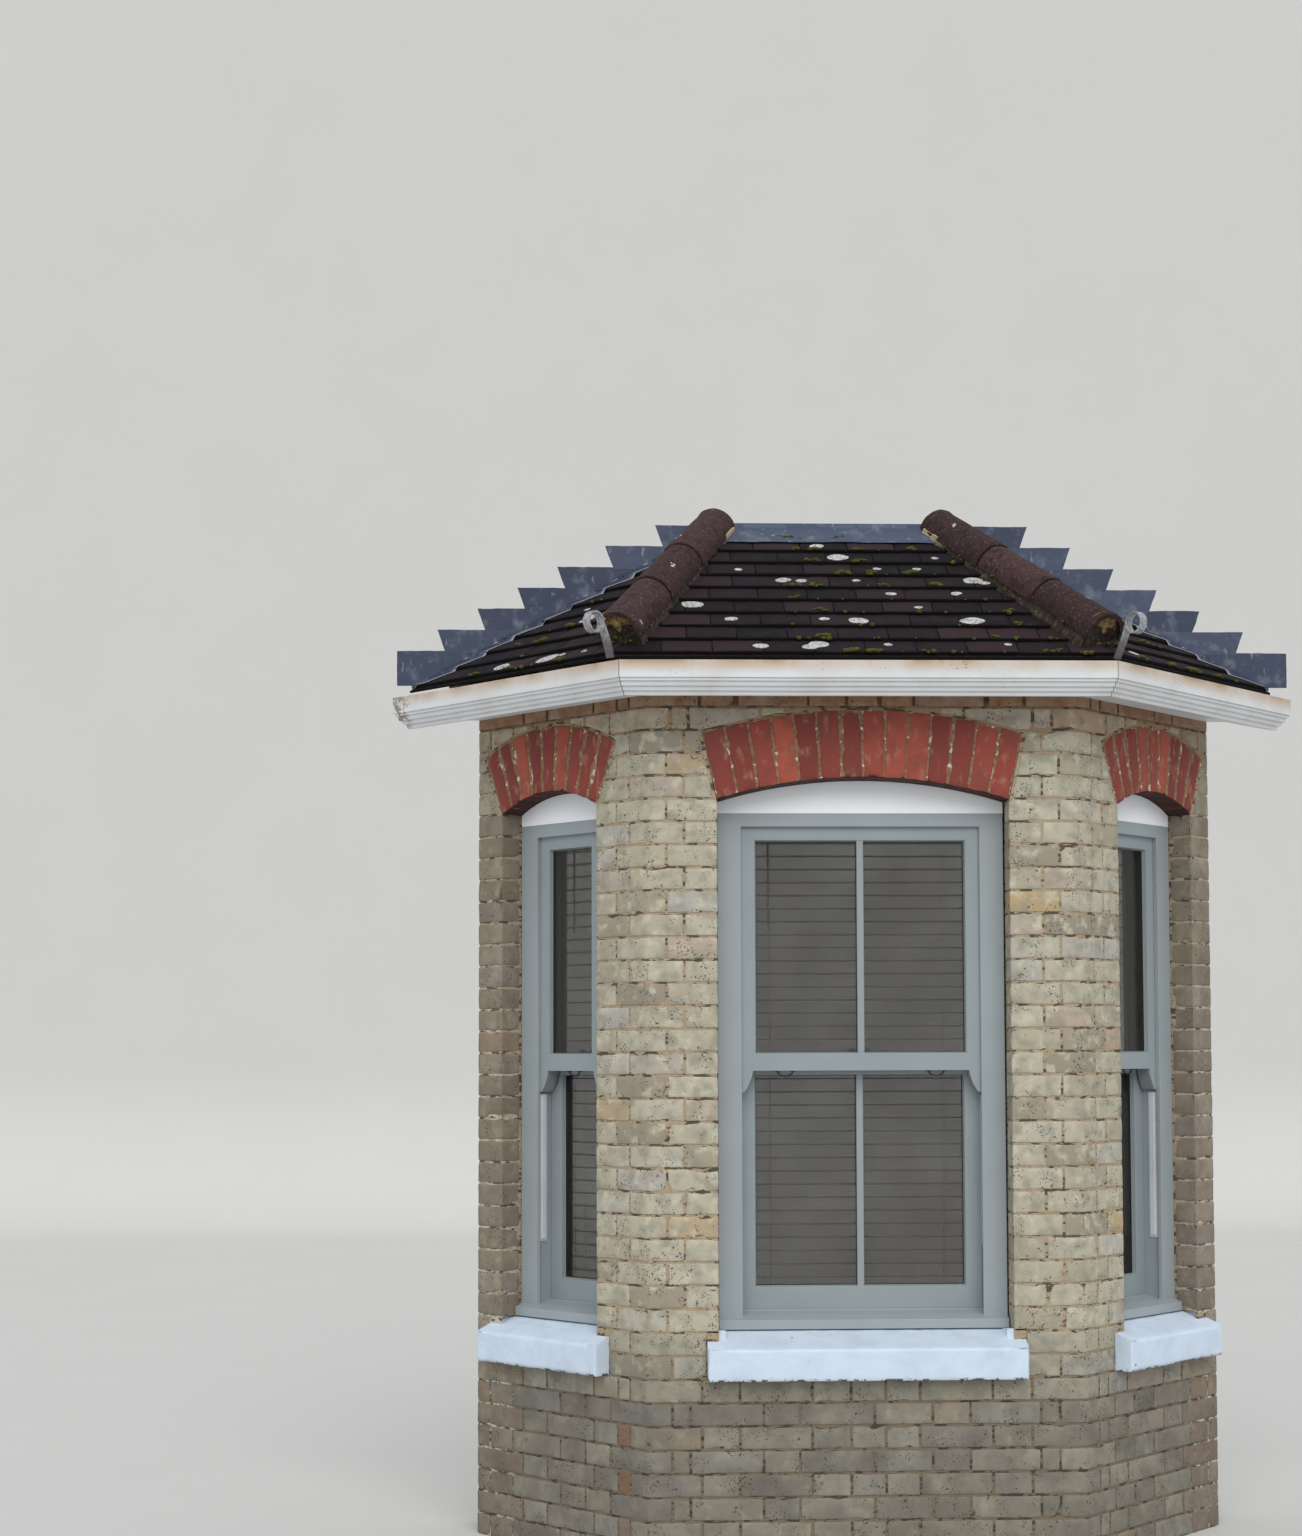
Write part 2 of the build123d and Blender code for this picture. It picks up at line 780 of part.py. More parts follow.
def hip_section(radius, bed):
    # Half-round tile on its bed of mortar
    with BuildSketch() as shape:
        add(half_round(radius))
        with Locations((0, -bed / 2)):
            Rectangle(2 * radius - 2 * hip_bed_inset, bed)
    return shape.sketch


hip_parts = {}
for side in ("left", "right"):
    plane, length = hip_plane(side)
    foot = plane.from_local_coords((0, hip_foot_lift, 0))
    rise = ridge_height - hip_top_drop - eaves_height - hip_foot_lift
    hip_angle = atan2(rise, length)
    hip_length = sqrt(length**2 + rise**2)
    tile_length = (hip_length - hip_tile_start) / hip_tile_count
    up_hip = plane.x_dir * cos(hip_angle) + plane.y_dir * sin(hip_angle)
    with BuildPart() as hip:
        for number in range(hip_tile_count):
            start = hip_tile_start + number * tile_length
            end = start + tile_length
            if number == hip_tile_count - 1:
                end += 2 * hip_tile_radius
            for distance, radius in ((start, hip_tile_radius), (end, hip_tile_radius - hip_tile_taper)):
                across = Plane(origin=foot + up_hip * distance, x_dir=plane.z_dir, z_dir=-up_hip)
                bed = hip_foot_bed + (hip_top_bed - hip_foot_bed) * distance / hip_length
                with BuildSketch(across):
                    add(hip_section(radius, bed))
            loft()
        mouth = Plane(origin=foot + up_hip * hip_tile_start, x_dir=plane.z_dir, z_dir=-up_hip)
        with BuildSketch(mouth):
            add(half_round(hip_tile_radius - hip_tile_wall))
        extrude(amount=-hip_tile_wall, mode=Mode.SUBTRACT)
        for face in faces:
            add(roof_tiles[face], mode=Mode.SUBTRACT)
        split(bisect_by=Plane.XZ, keep=Keep.TOP)
    hip_parts[side] = largest(hip.part)
    save(hip_parts[side], f"{side}_hip_tiles")

with BuildPart() as irons:
    for side in ("left", "right"):
        plane, length = hip_plane(side)
        grade = (ridge_height - eaves_height) / length
        lift = iron_thickness / 2 * sqrt(1 + grade**2)
        with BuildSketch(plane):
            with BuildLine() as path:
                strap = Line((iron_seat, iron_seat * grade + lift), (iron_toe, iron_toe * grade + lift))
                shank = Line(strap @ 1, (-iron_reach, iron_rise))
                JernArc(start=shank @ 1, tangent=shank % 1, radius=iron_scroll, arc_size=300)
            trace(path.line, line_width=iron_thickness)
        extrude(amount=iron_width / 2, both=True)
    for side in ("left", "right"):
        add(hip_parts[side], mode=Mode.SUBTRACT)
    for face in faces:
        add(roof_tiles[face], mode=Mode.SUBTRACT)
save(irons.part, "hip_irons")

# Lead: stepped flashings up the wall at each side, and an apron along the top
step_flashings = {}
for side in ("left", "right"):
    sign = -1 if side == "left" else 1
    wall_foot = abs(eaves_line()[0 if side == "left" else 3][0])
    hip_top = abs(hip_tops[side][0])
    step_run = course * (wall_foot - hip_top) / (ridge_height - eaves_height)
    step_count = ceil((ridge_height - eaves_height - first_step) / course) + 1
    corners = [(wall_foot, eaves_height), (lead_end, eaves_height)]
    for number in range(step_count):
        reach = lead_end - number * step_run
        level = eaves_height + first_step + number * course
        if number > 0:
            corners.append((reach - step_rake, level - course))
        corners.append((reach, level))
    corners.append((hip_top, level))
    corners.append((hip_top, ridge_height))
    with BuildPart() as flashing:
        with BuildSketch(Plane.XZ):
            Polygon(*[(sign * along, level) for along, level in corners], align=None)
        extrude(amount=lead_thickness)
        with BuildPart(mode=Mode.PRIVATE) as leg:
            with BuildSketch(section_plane(side, 0)):
                eaves = eaves_reach[side]
                add(slope_layer(side, -lead_thickness, 0, eaves, eaves - slope_run(side)))
            extrude(amount=2 * front_width, both=True)
            with BuildSketch():
                with Locations((0, -lead_lap / 2)):
                    Rectangle(2 * back_width, lead_lap)
                Polygon(*slope_plan(side), align=None, mode=Mode.INTERSECT)
            extrude(amount=2 * ridge_height, mode=Mode.INTERSECT)
        add(leg.part)
        for face in faces:
            add(roof_tiles[face], mode=Mode.SUBTRACT)
        add(hip_parts[side], mode=Mode.SUBTRACT)
    step_flashings[side] = largest(flashing.part)

with BuildPart() as flashings:
    add(step_flashings.values())
save(flashings.part, "step_flashings")

with BuildPart() as apron:
    with BuildSketch(section_plane("front", 0)):
        add(slope_layer("front", -lead_thickness, 0, -bay_depth + apron_lap, -bay_depth))
        with Locations((-bay_depth + lead_thickness / 2, ridge_height + apron_upstand / 2)):
            Rectangle(lead_thickness, apron_upstand)
    extrude(amount=front_width, both=True)
    with BuildSketch():
        Polygon(*slope_plan("front"), align=None)
    extrude(amount=2 * ridge_height, mode=Mode.INTERSECT)
    for side in ("left", "right"):
        add(hip_parts[side], mode=Mode.SUBTRACT)
    for face in faces:
        add(roof_tiles[face], mode=Mode.SUBTRACT)
save(largest(apron.part), "apron_flashing")


# Moulded gutter round the three sides, with stop ends at the wall
def gutter_section():
    # x outward from the fascia, y up: a flat band over two rolls that step back to the foot
    band_foot = gutter_height - gutter_band
    with BuildSketch() as shape:
        with BuildLine():
            back = Line((0, gutter_height), (0, 0))
            sole = Line(back @ 1, (gutter_foot, 0))
            toe = RadiusArc(sole @ 1, (gutter_toe_face, gutter_cove_foot), -gutter_toe_round)
            step = Line(toe @ 1, (gutter_toe_face + gutter_ledge, gutter_cove_foot))
            cove = RadiusArc(step @ 1, (gutter_cove_face, gutter_roll_foot), -gutter_toe_round)
            ledge = Line(cove @ 1, (gutter_cove_face + gutter_ledge, gutter_roll_foot))
            roll = RadiusArc(ledge @ 1, (gutter_roll_face, band_foot), -gutter_roll_round)
            lip = Line(roll @ 1, (gutter_width, band_foot))
            band = Line(lip @ 1, (gutter_width, gutter_height))
            Line(band @ 1, back @ 0)
        make_face()
    return shape.sketch


def gutter_hollow():
    # The section less the wall of the gutter, open at the top
    outer = [(gutter_foot, 0), (gutter_toe_face, gutter_cove_foot), (gutter_cove_face, gutter_roll_foot),
             (gutter_width, gutter_height - gutter_band), (gutter_width, gutter_height)]
    inner = [(reach - gutter_wall, height + gutter_wall) for reach, height in outer]
    with BuildSketch() as shape:
        Polygon(*inner, (gutter_wall, gutter_height + gutter_wall), (gutter_wall, gutter_wall), align=None)
    return shape.sketch


def along_eaves(offset, height, section, cut):
    # Sweep a section (x outward, y up) round the bay with mitred corners, cut off near the wall
    left_back, left_front, right_front, right_back = outline(offset)
    past = 2 * gutter_width
    turn = radians(cant_angle)
    start = (left_back[0] - past * cos(turn), left_back[1] + past * sin(turn), height)
    end = (right_back[0] + past * cos(turn), right_back[1] + past * sin(turn), height)
    outward = (-sin(turn), -cos(turn), 0)
    with BuildPart() as run:
        with BuildLine() as path:
            Polyline(start, (*left_front, height), (*right_front, height), end)
        with BuildSketch(Plane(origin=start, x_dir=outward, z_dir=(-cos(turn), sin(turn), 0))):
            add(section)
        sweep(path=path.line, transition=Transition.RIGHT)
        split(bisect_by=Plane.XZ.offset(cut), keep=Keep.TOP)
    return run.part


with BuildPart() as gutter:
    gutter_bottom = eaves_height - gutter_drop
    add(along_eaves(fascia_face, gutter_bottom, gutter_section(), 0))
    add(along_eaves(fascia_face, gutter_bottom, gutter_hollow(), gutter_wall), mode=Mode.SUBTRACT)
save(gutter.part, "gutter")

# Fasteners on the meeting rails and finger pulls under them
with BuildPart() as fittings:
    for face in faces:
        opening = window(face)
        plane = face_plane(face)
        rail_middle = opening.recess + lower_sash_front + sash_thickness / 2
        with BuildSketch(plane.offset(fastener_depth / 2 - rail_middle)):
            with Locations((opening.middle, lower_top + fastener_base[1] / 2)):
                Rectangle(*fastener_base)
            with Locations((opening.middle, lower_top + fastener_base[1] / 2 + fastener_body[1] / 2)):
                Rectangle(*fastener_body)
        extrude(amount=-fastener_depth)
        pulls = (-front_pull_reach, front_pull_reach) if face == "front" else (0,)
        for pull in pulls:
            with BuildSketch(plane.offset(pull_depth / 2 - opening.recess - lining - glass_setback)):
                with Locations((opening.middle + pull, meeting_bottom)):
                    Circle(pull_radius)
                    Circle(pull_hole, mode=Mode.SUBTRACT)
                    with Locations((0, pull_radius)):
                        Rectangle(4 * pull_radius, 2 * pull_radius, mode=Mode.SUBTRACT)
            extrude(amount=-pull_depth)
save(fittings.part, "sash_fittings")
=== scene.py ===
# Bay window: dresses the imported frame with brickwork, joinery, blinds, roof tiles, lead and gutter.
# Lengths are millimetres until a mesh is made. X runs along the wall, Y into the house, Z up.
from dataclasses import dataclass
from functools import cache
from math import atan, atan2, cos, radians, sin, sqrt, tan

import bmesh
import bpy
import numpy as np
from mathutils import Matrix, Vector

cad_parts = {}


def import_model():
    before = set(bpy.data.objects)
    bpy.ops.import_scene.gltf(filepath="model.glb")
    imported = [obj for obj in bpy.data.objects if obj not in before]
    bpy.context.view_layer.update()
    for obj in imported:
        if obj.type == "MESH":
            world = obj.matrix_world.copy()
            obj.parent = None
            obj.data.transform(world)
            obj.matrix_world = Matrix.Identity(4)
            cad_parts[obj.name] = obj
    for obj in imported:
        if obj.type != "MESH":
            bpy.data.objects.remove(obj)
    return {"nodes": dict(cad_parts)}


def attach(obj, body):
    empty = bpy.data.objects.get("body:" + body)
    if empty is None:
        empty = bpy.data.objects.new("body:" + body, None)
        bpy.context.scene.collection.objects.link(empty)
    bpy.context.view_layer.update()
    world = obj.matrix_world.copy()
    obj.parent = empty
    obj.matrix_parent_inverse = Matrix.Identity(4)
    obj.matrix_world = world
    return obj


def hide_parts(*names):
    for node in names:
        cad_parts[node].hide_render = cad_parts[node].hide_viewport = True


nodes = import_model()["nodes"]
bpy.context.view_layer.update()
MM = 0.001
crease = radians(40)
mitre = tan(radians(22.5))

# Plan and levels of the brickwork
front_width = 1415
side_width = 820
bay_depth = side_width * cos(radians(45))
half_front = front_width / 2
half_back = half_front + bay_depth
house_wall = 215
course = 75
sill_seat = 600
sill_top = 750
arch_spring = 2473
wall_top = 2850

# Windows and the piers beside them
front_pier = 230
corner_pier = 234
wall_pier = 121
arch_depth = 222
arch_back = 108

# Bricks and their joints
joint = 8
arris = 3
skirt = 12
mortar_setback = 2.5
cut_inset = 1
front_arch_joint = 9
side_arch_joint = 15
arch_clearance = 8


# Repeatable noise
def lattice(cells, seed):
    # A number between 0 and 1 for each whole-number cell
    mixed = cells[..., 0] * 73856093 ^ cells[..., 1] * 19349663 ^ cells[..., 2] * 83492791
    mixed = mixed + seed * 668265263 & 0xFFFFFFFF
    mixed = (mixed ^ mixed >> 15) * 2246822519 & 0xFFFFFFFF
    mixed = (mixed ^ mixed >> 13) * 3266489917 & 0xFFFFFFFF
    return (mixed ^ mixed >> 16) / 0xFFFFFFFF


def pick(*cell, seed):
    # One number between 0 and 1 for one numbered thing
    return lattice(np.array([cell]), seed)[0]


def draws(count, number, group, seed):
    # Several numbers between 0 and 1 for one numbered thing
    return lattice(np.array([[number, part, group] for part in range(count)]), seed)


def noise(points, size, seed=0):
    # Smooth noise between -1 and 1 whose lumps have the given size
    scaled = np.asarray(points, float) / size
    base = np.floor(scaled).astype(np.int64)
    part = scaled - base
    part = part * part * (3 - 2 * part)
    total = np.zeros(scaled.shape[:-1])
    for corner in np.ndindex(2, 2, 2):
        weight = np.prod(np.where(corner, part, 1 - part), axis=-1)
        total += weight * lattice(base + corner, seed)
    return 2 * total - 1


# Meshes
def spots(*parts):
    # Points from their parts, each stretched to the shape of all
    return np.stack(np.broadcast_arrays(*parts), axis=-1)


def sheet_faces(columns, rows):
    # Quads of a grid of points, whose rows run fastest
    first = (np.arange(columns - 1)[:, None] * rows + np.arange(rows - 1)).ravel()
    return np.stack([first, first + rows, first + rows + 1, first + 1], axis=1)


def tube_faces(columns, rows):
    # Quads of rings joined in a row, each ring closed
    here = np.arange(rows)
    after = (here + 1) % rows
    first = np.arange(columns - 1)[:, None] * rows
    quads = [first + here, first + rows + here, first + rows + after, first + after]
    return np.stack(quads, axis=-1).reshape(-1, 4)


def add_piece(name, mesh, slot, material, *replaced):
    # One object of the bay, standing for the replaced nodes
    mesh.materials.clear()
    mesh.materials.append(material)
    piece = bpy.data.objects.new(name, mesh)
    bpy.context.scene.collection.objects.link(piece)
    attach(piece, "root")
    if replaced:
        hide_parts(*replaced)
    return piece


class Batch:
    # Small blocks gathered into one mesh; each point carries a look of three numbers
    def __init__(self):
        self.points = []
        self.faces = []
        self.looks = []
        self.count = 0

    def add(self, points, faces, look=(0, 0, 0)):
        points = np.reshape(points, (-1, 3))
        self.points.append(points)
        self.faces += (np.asarray(faces) + self.count).tolist()
        self.looks.append(np.broadcast_to(look, points.shape))
        self.count += len(points)

    def slab(self, front, back, look=(0, 0, 0)):
        # A thin closed solid between two grids of points
        columns, rows = front.shape[:2]
        count = columns * rows
        quads = sheet_faces(columns, rows)
        number = np.arange(count).reshape(columns, rows)
        loop = np.concatenate([number[:-1, 0], number[-1, :-1], number[:0:-1, -1], number[0, :0:-1]])
        after = np.roll(loop, -1)
        rim = np.stack([after, loop, loop + count, after + count], axis=1)
        points = np.concatenate([front.reshape(-1, 3), back.reshape(-1, 3)])
        self.add(points, np.concatenate([quads, quads[:, ::-1] + count, rim]), look)

    def column(self, rings, look=(0, 0, 0)):
        # A closed solid through rings of points, with flat ends
        columns, rows = rings.shape[:2]
        first = self.count
        self.add(rings, tube_faces(columns, rows), look)
        self.faces.append(list(range(first + rows - 1, first - 1, -1)))
        self.faces.append(list(range(first + (columns - 1) * rows, first + columns * rows)))

    def rod(self, line, radius, sides=8):
        # A round bar along a line of points
        along = np.gradient(line, axis=0)
        along /= np.linalg.norm(along, axis=1)[:, None]
        guide = np.where(np.abs(along[:, 2:3]) > 0.9, [[1.0, 0.2, 0]], [[0, 0, 1.0]])
        side = np.cross(along, guide)
        side /= np.linalg.norm(side, axis=1)[:, None]
        upward = np.cross(side, along)
        turn = np.linspace(0, 2 * np.pi, sides, endpoint=False)[:, None]
        off = np.cos(turn) * side[:, None] + np.sin(turn) * upward[:, None]
        self.column(line[:, None] + radius * off)

    def make(self, name, slot, material, *replaced, smooth=True, closed=False):
        mesh = bpy.data.meshes.new(name)
        mesh.from_pydata((np.concatenate(self.points) * MM).tolist(), [], self.faces)
        looks = np.concatenate(self.looks).ravel()
        mesh.attributes.new("look", "FLOAT_VECTOR", "POINT").data.foreach_set("vector", looks)
        mesh.polygons.foreach_set("use_smooth", [smooth] * len(mesh.polygons))
        if closed:
            shell = bmesh.new()
            shell.from_mesh(mesh)
            bmesh.ops.recalc_face_normals(shell, faces=shell.faces)
            shell.to_mesh(mesh)
            shell.free()
            mesh.set_sharp_from_angle(angle=crease)
        add_piece(name, mesh, slot, material, *replaced)


def reshaped_copy(name, slot, material, node, move, voxel=0):
    # A copy of a CAD node, welded, remeshed where a voxel is given, and then moved point by point
    piece = add_piece(name, nodes[node].data.copy(), slot, material, node)
    piece.modifiers.new("weld", "WELD").merge_threshold = 0.1 * MM
    if voxel:
        piece.modifiers.new("remesh", "REMESH").voxel_size = voxel * MM
        piece.modifiers.new("smooth", "SMOOTH").iterations = 2
    piece.data = bpy.data.meshes.new_from_object(piece.evaluated_get(bpy.context.evaluated_depsgraph_get()))
    piece.modifiers.clear()
    points = np.zeros(3 * len(piece.data.vertices))
    normals = np.zeros_like(points)
    piece.data.vertices.foreach_get("co", points)
    piece.data.vertices.foreach_get("normal", normals)
    moved = move(points.reshape(-1, 3) / MM, normals.reshape(-1, 3))
    piece.data.vertices.foreach_set("co", (moved * MM).ravel())
    piece.data.polygons.foreach_set("use_smooth", [bool(voxel)] * len(piece.data.polygons))


# The three brick faces
@dataclass(eq=False)
class Face:
    # Measures across from its left end, up, and out from the brick
    name: str
    start: tuple
    end: tuple
    middle: float
    opening: float
    recess: float
    rise: float
    skew: float
    ear: float
    voussoirs: int

    def __post_init__(self):
        self.start = np.array(self.start, float)
        run = np.array(self.end, float) - self.start
        self.width = np.hypot(*run)
        self.along = run / self.width
        self.outward = np.array([self.along[1], -self.along[0]])
        self.half = self.opening / 2
        self.soffit_radius = (self.half**2 + self.rise**2) / (2 * self.rise)
        self.arch_centre = arch_spring + self.rise - self.soffit_radius
        self.back_radius = self.soffit_radius + arch_depth
        self.back_end = self.arch_centre + sqrt(self.back_radius**2 - (self.half + self.skew)**2)
        self.fan_depth = self.half * (self.back_end - arch_spring) / self.skew

    def place(self, across, up, out=0):
        across, up, out = np.broadcast_arrays(across, up, out)
        plan = self.start + across[..., None] * self.along + out[..., None] * self.outward
        return np.concatenate([plan, up[..., None]], axis=-1)

    def plan(self, across, out=0):
        return self.place(across, 0, out)[:2]

    def measure(self, points):
        plan = points[..., :2] - self.start
        return plan @ self.along, points[..., 2], plan @ self.outward

    def half_gap(self, up):
        # Half width of the opening or of the arch over it, at a level
        slope = self.skew / (self.back_end - arch_spring)
        half = self.half + slope * np.clip(up - arch_spring, 0, None)
        above = np.clip(self.back_radius**2 - (up - self.arch_centre)**2, 0, None)
        return np.where(up > self.back_end, np.sqrt(above), half)

    def arch_top(self, across):
        # Level of the back of the arch, or nothing beside it
        off = np.abs(across - self.middle)
        top = self.arch_centre + np.sqrt(np.clip(self.back_radius**2 - off**2, 0, None))
        return np.where(off < self.half + self.skew, top, 0)


side_window = dict(opening=465, recess=88, rise=62, skew=88, ear=57, voussoirs=9)
side_middle = wall_pier + side_window["opening"] / 2
left = Face("left", (-half_back, 0), (-half_front, -bay_depth), side_middle, **side_window)
front = Face("front", (-half_front, -bay_depth), (half_front, -bay_depth), half_front,
             opening=955, recess=103, rise=72, skew=48, ear=38, voussoirs=14)
right = Face("right", (half_front, -bay_depth), (half_back, 0), side_width - side_middle, **side_window)
faces = [left, front, right]


class Path:
    # A line in plan along which bricks are laid, round corners and into reveals
    def __init__(self, *corners):
        self.corners = np.array(corners, float)
        runs = np.diff(self.corners, axis=0)
        lengths = np.hypot(runs[:, 0], runs[:, 1])
        self.marks = np.concatenate([[0], np.cumsum(lengths)])
        self.along = runs / lengths[:, None]
        self.outward = np.stack([self.along[:, 1], -self.along[:, 0]], axis=1)
        self.bends = self.marks[1:-1]
        self.end = self.marks[-1]

    def place(self, across, up, out):
        across, up, out = np.broadcast_arrays(across, up, out)
        part = np.clip(np.searchsorted(self.marks, across) - 1, 0, len(self.along) - 1)
        normal = self.outward[part]
        for bend, before, after in zip(self.bends, self.outward, self.outward[1:]):
            at_bend = (np.abs(across - bend) < 0.01)[..., None]
            normal = np.where(at_bend, (before + after) / (1 + before @ after), normal)
        plan = self.corners[part] + (across - self.marks[part])[..., None] * self.along[part]
        return np.concatenate([plan + out[..., None] * normal, up[..., None]], axis=-1)


# Blocks: bricks, arch bricks and tiles are worn skins whose edges fall back into what holds them
def grid_lines(start, end, bends, cell):
    # Lines across a block, closer at its edges and beside each bend
    marks = [start, start + arris, end - arris, end]
    for bend in bends:
        if start + arris < bend < end - arris:
            marks += [bend - arris, bend, bend + arris]
    inner = np.linspace(start, end, max(2, round((end - start) / cell)) + 1)
    clear = [line for line in inner if min(abs(line - mark) for mark in marks) > 0.4 * cell]
    return np.array(sorted(marks + clear))


def edge_fall(lines, bends, worn):
    # How far each line lies behind the face of the block
    fall = np.zeros(len(lines))
    for bend in bends:
        fall[np.abs(lines - bend) < 0.01] = worn
    fall[[0, -1]] = worn
    fall[[1, -2]] = 0.2 * worn
    return fall


def lay_block(batch, place, across, up, look, seed, bends=(), rises=(), trim=None,
              cell=18, worn=1.3, rough=0.9, wobble=1.6, chip=3):
    # One worn block between two limits across and two up, on the surface that place gives
    columns = grid_lines(*across, bends, cell)
    rows = grid_lines(*up, rises, cell)
    fall = edge_fall(columns, bends, worn)[:, None] + edge_fall(rows, rises, worn)
    fall = np.pad(fall, 1, constant_values=skirt)
    wide, high = np.meshgrid(np.pad(columns, 1, mode="edge"), np.pad(rows, 1, mode="edge"), indexing="ij")
    if trim:
        wide, high = trim(wide, high)
    spot = spots(wide, high, 37.0 * seed)
    face = fall < skirt
    edge = (fall > 0) & face
    depth = fall + rough * noise(spot, 30, 1) * face
    depth = depth + chip * np.clip(noise(spot, 55, 2) - 0.25, 0, 1) * 2 * edge
    wide = wide + wobble * noise(spot, 28, 3)
    high = high + wobble * noise(spot, 28, 4)
    batch.add(place(wide, high, -np.clip(depth, -0.8, None)), sheet_faces(*wide.shape), look)


# Materials
def colour(red, green, blue):
    # Linear colour from screen values of 0 to 255
    tone = np.array([red, green, blue]) / 255
    return (*np.where(tone > 0.04045, ((tone + 0.055) / 1.055) ** 2.4, tone / 12.92), 1)


class Finish:
    # A node material whose shade is laid on in layers; tints are screen values of 0 to 255
    def __init__(self, name, roughness, tint=(0, 0, 0), **settings):
        self.material = bpy.data.materials.new(name)
        self.material.use_nodes = True
        self.tree = self.material.node_tree
        self.shader = self.tree.nodes["Principled BSDF"]
        settings["Roughness"] = roughness
        self.feed(self.shader, {socket.replace("_", " "): value for socket, value in settings.items()})
        self.spot = self.node("TexCoord", {}, "Object")
        self.shade = colour(*tint)

    def feed(self, node, inputs):
        for socket, value in inputs.items():
            if isinstance(value, bpy.types.NodeSocket):
                self.tree.links.new(value, node.inputs[socket])
            else:
                node.inputs[socket].default_value = value

    def node(self, kind, inputs, output=0, **settings):
        # Output of a new node
        made = self.tree.nodes.new("ShaderNode" + kind)
        for name, value in settings.items():
            setattr(made, name, value)
        self.feed(made, inputs)
        return made.outputs[output]

    def part(self, vector, axis):
        return self.node("SeparateXYZ", {0: vector}, axis)

    def place(self, axis):
        return self.part(self.spot, axis)

    def look(self, axis):
        # One of the three numbers that a batch gives to its blocks
        return self.part(self.node("Attribute", {}, "Vector", attribute_name="look"), axis)

    def noise(self, size, detail=4, stretch=None):
        vector = self.node("Mapping", {"Vector": self.spot, "Scale": stretch}) if stretch else self.spot
        inputs = {"Vector": vector, "Scale": 1 / (size * MM), "Detail": detail, "Roughness": 0.55}
        return self.node("TexNoise", inputs, "Fac")

    def cells(self, size, output="Distance"):
        return self.node("TexVoronoi", {"Vector": self.spot, "Scale": 1 / (size * MM)}, output)

    def math(self, operation, first, second=0.5):
        return self.node("Math", {0: first, 1: second}, operation=operation)

    def between(self, value, low, high, start=0.0, end=1.0):
        # Goes smoothly from start to end as the value goes from low to high
        inputs = dict(enumerate((value, low, high, start, end)))
        return self.node("MapRange", inputs, interpolation_type="SMOOTHSTEP")

    def patches(self, size, detail, low, high, start=0.0, end=1.0, stretch=None):
        return self.between(self.noise(size, detail, stretch), low, high, start, end)

    def level(self, low, high, start=0.0, end=1.0):
        return self.between(self.place("Z"), low, high, start, end)

    def facing_down(self, low=-0.8, high=-0.5):
        # One where the surface leans over further than the low limit, nothing above the high one; it places
        # painted shade on surfaces that face down
        normal = self.node("NewGeometry", {}, "Normal")
        return self.between(self.part(normal, "Z"), low, high, 1, 0)

    def ramp(self, value, *stops):
        made = self.node("ValToRGB", {0: value})
        marks = made.node.color_ramp.elements
        while len(marks) < len(stops):
            marks.new(1)
        for mark, (place, tint) in zip(marks, stops):
            mark.position = place
            mark.color = colour(*tint)
        return made

    def mix(self, factor, first, second):
        return self.node("Mix", {0: factor, 6: first, 7: second}, 2, data_type="RGBA")

    def lay(self, tint, factor, *others):
        # Covers the shade with a tint by the product of the factors
        for other in others:
            factor = self.math("MULTIPLY", factor, other)
        self.shade = self.mix(factor, self.shade, colour(*tint))

    def blotch(self, tint, size, detail, low, high, most=1.0, stretch=None):
        self.lay(tint, self.patches(size, detail, low, high, 0, most, stretch))

    def done(self, height=None, distance=0, strength=0.6):
        # The material, roughened by a height in millimetres
        self.feed(self.shader, {"Base Color": self.shade})
        if height:
            inputs = {"Height": height, "Distance": distance * MM, "Strength": strength}
            self.feed(self.shader, {"Normal": self.node("Bump", inputs, "Normal")})
        return self.material


def stock_brick():
    # Cream stock bricks, each its own shade, greyer where they are dirty and specked with black
    finish = Finish("stock_brick", 0.9)
    finish.shade = finish.ramp(finish.look("X"), (0.0, (150, 140, 122)), (0.16, (172, 164, 142)),
                               (0.4, (184, 178, 156)), (0.7, (188, 182, 162)), (0.88, (176, 174, 166)),
                               (0.95, (182, 166, 148)), (1.0, (186, 162, 118)))
    finish.blotch((204, 198, 176), 42, 5, 0.5, 0.68, 0.8)
    finish.blotch((146, 142, 128), 52, 6, 0.42, 0.7, 0.75)
    finish.lay((100, 96, 89), finish.look("Y"), finish.patches(110, 4, 0.25, 0.75, 0.72, 1.0))
    # Rust-brown by look Z: stains by the wall and low at the corner, and painted shade of the gutter on the
    # top courses
    finish.lay((128, 74, 28), finish.look("Z"), finish.patches(48, 5, 0.3, 0.65, 1.0, 0.72))
    finish.lay((58, 53, 48), finish.patches(6, 5, 0.56, 0.64), finish.patches(60, 3, 0.5, 0.6))
    return finish.done(finish.noise(5, 6), 1.5)


def mortar():
    # Sandy lime mortar, blackened in places, whitish low down beside the wall
    finish = Finish("mortar", 0.95)
    finish.shade = finish.ramp(finish.noise(12, 5), (0.3, (154, 136, 112)), (0.7, (176, 158, 132)))
    finish.lay((140, 112, 78), finish.level(2.6, 2.7, 0, 0.6))
    # Dark brown just under the gutter: partly stain, partly painted shade of the gutter
    finish.lay((72, 50, 32), finish.level(2.76, 2.79, 0, 0.9))
    finish.lay((104, 92, 76), finish.level(0.5, 0.8, 0.85, 0))
    aside = finish.between(finish.math("ABSOLUTE", finish.place("X")), 1.12, 1.2)
    finish.lay((186, 180, 168), aside, finish.level(1.5, 2.3, 1, 0), finish.patches(30, 6, 0.45, 0.55))
    finish.blotch((52, 46, 40), 40, 6, 0.52, 0.57, 0.85, (1, 1, 3))
    return finish.done(finish.noise(6, 6), 2.5)


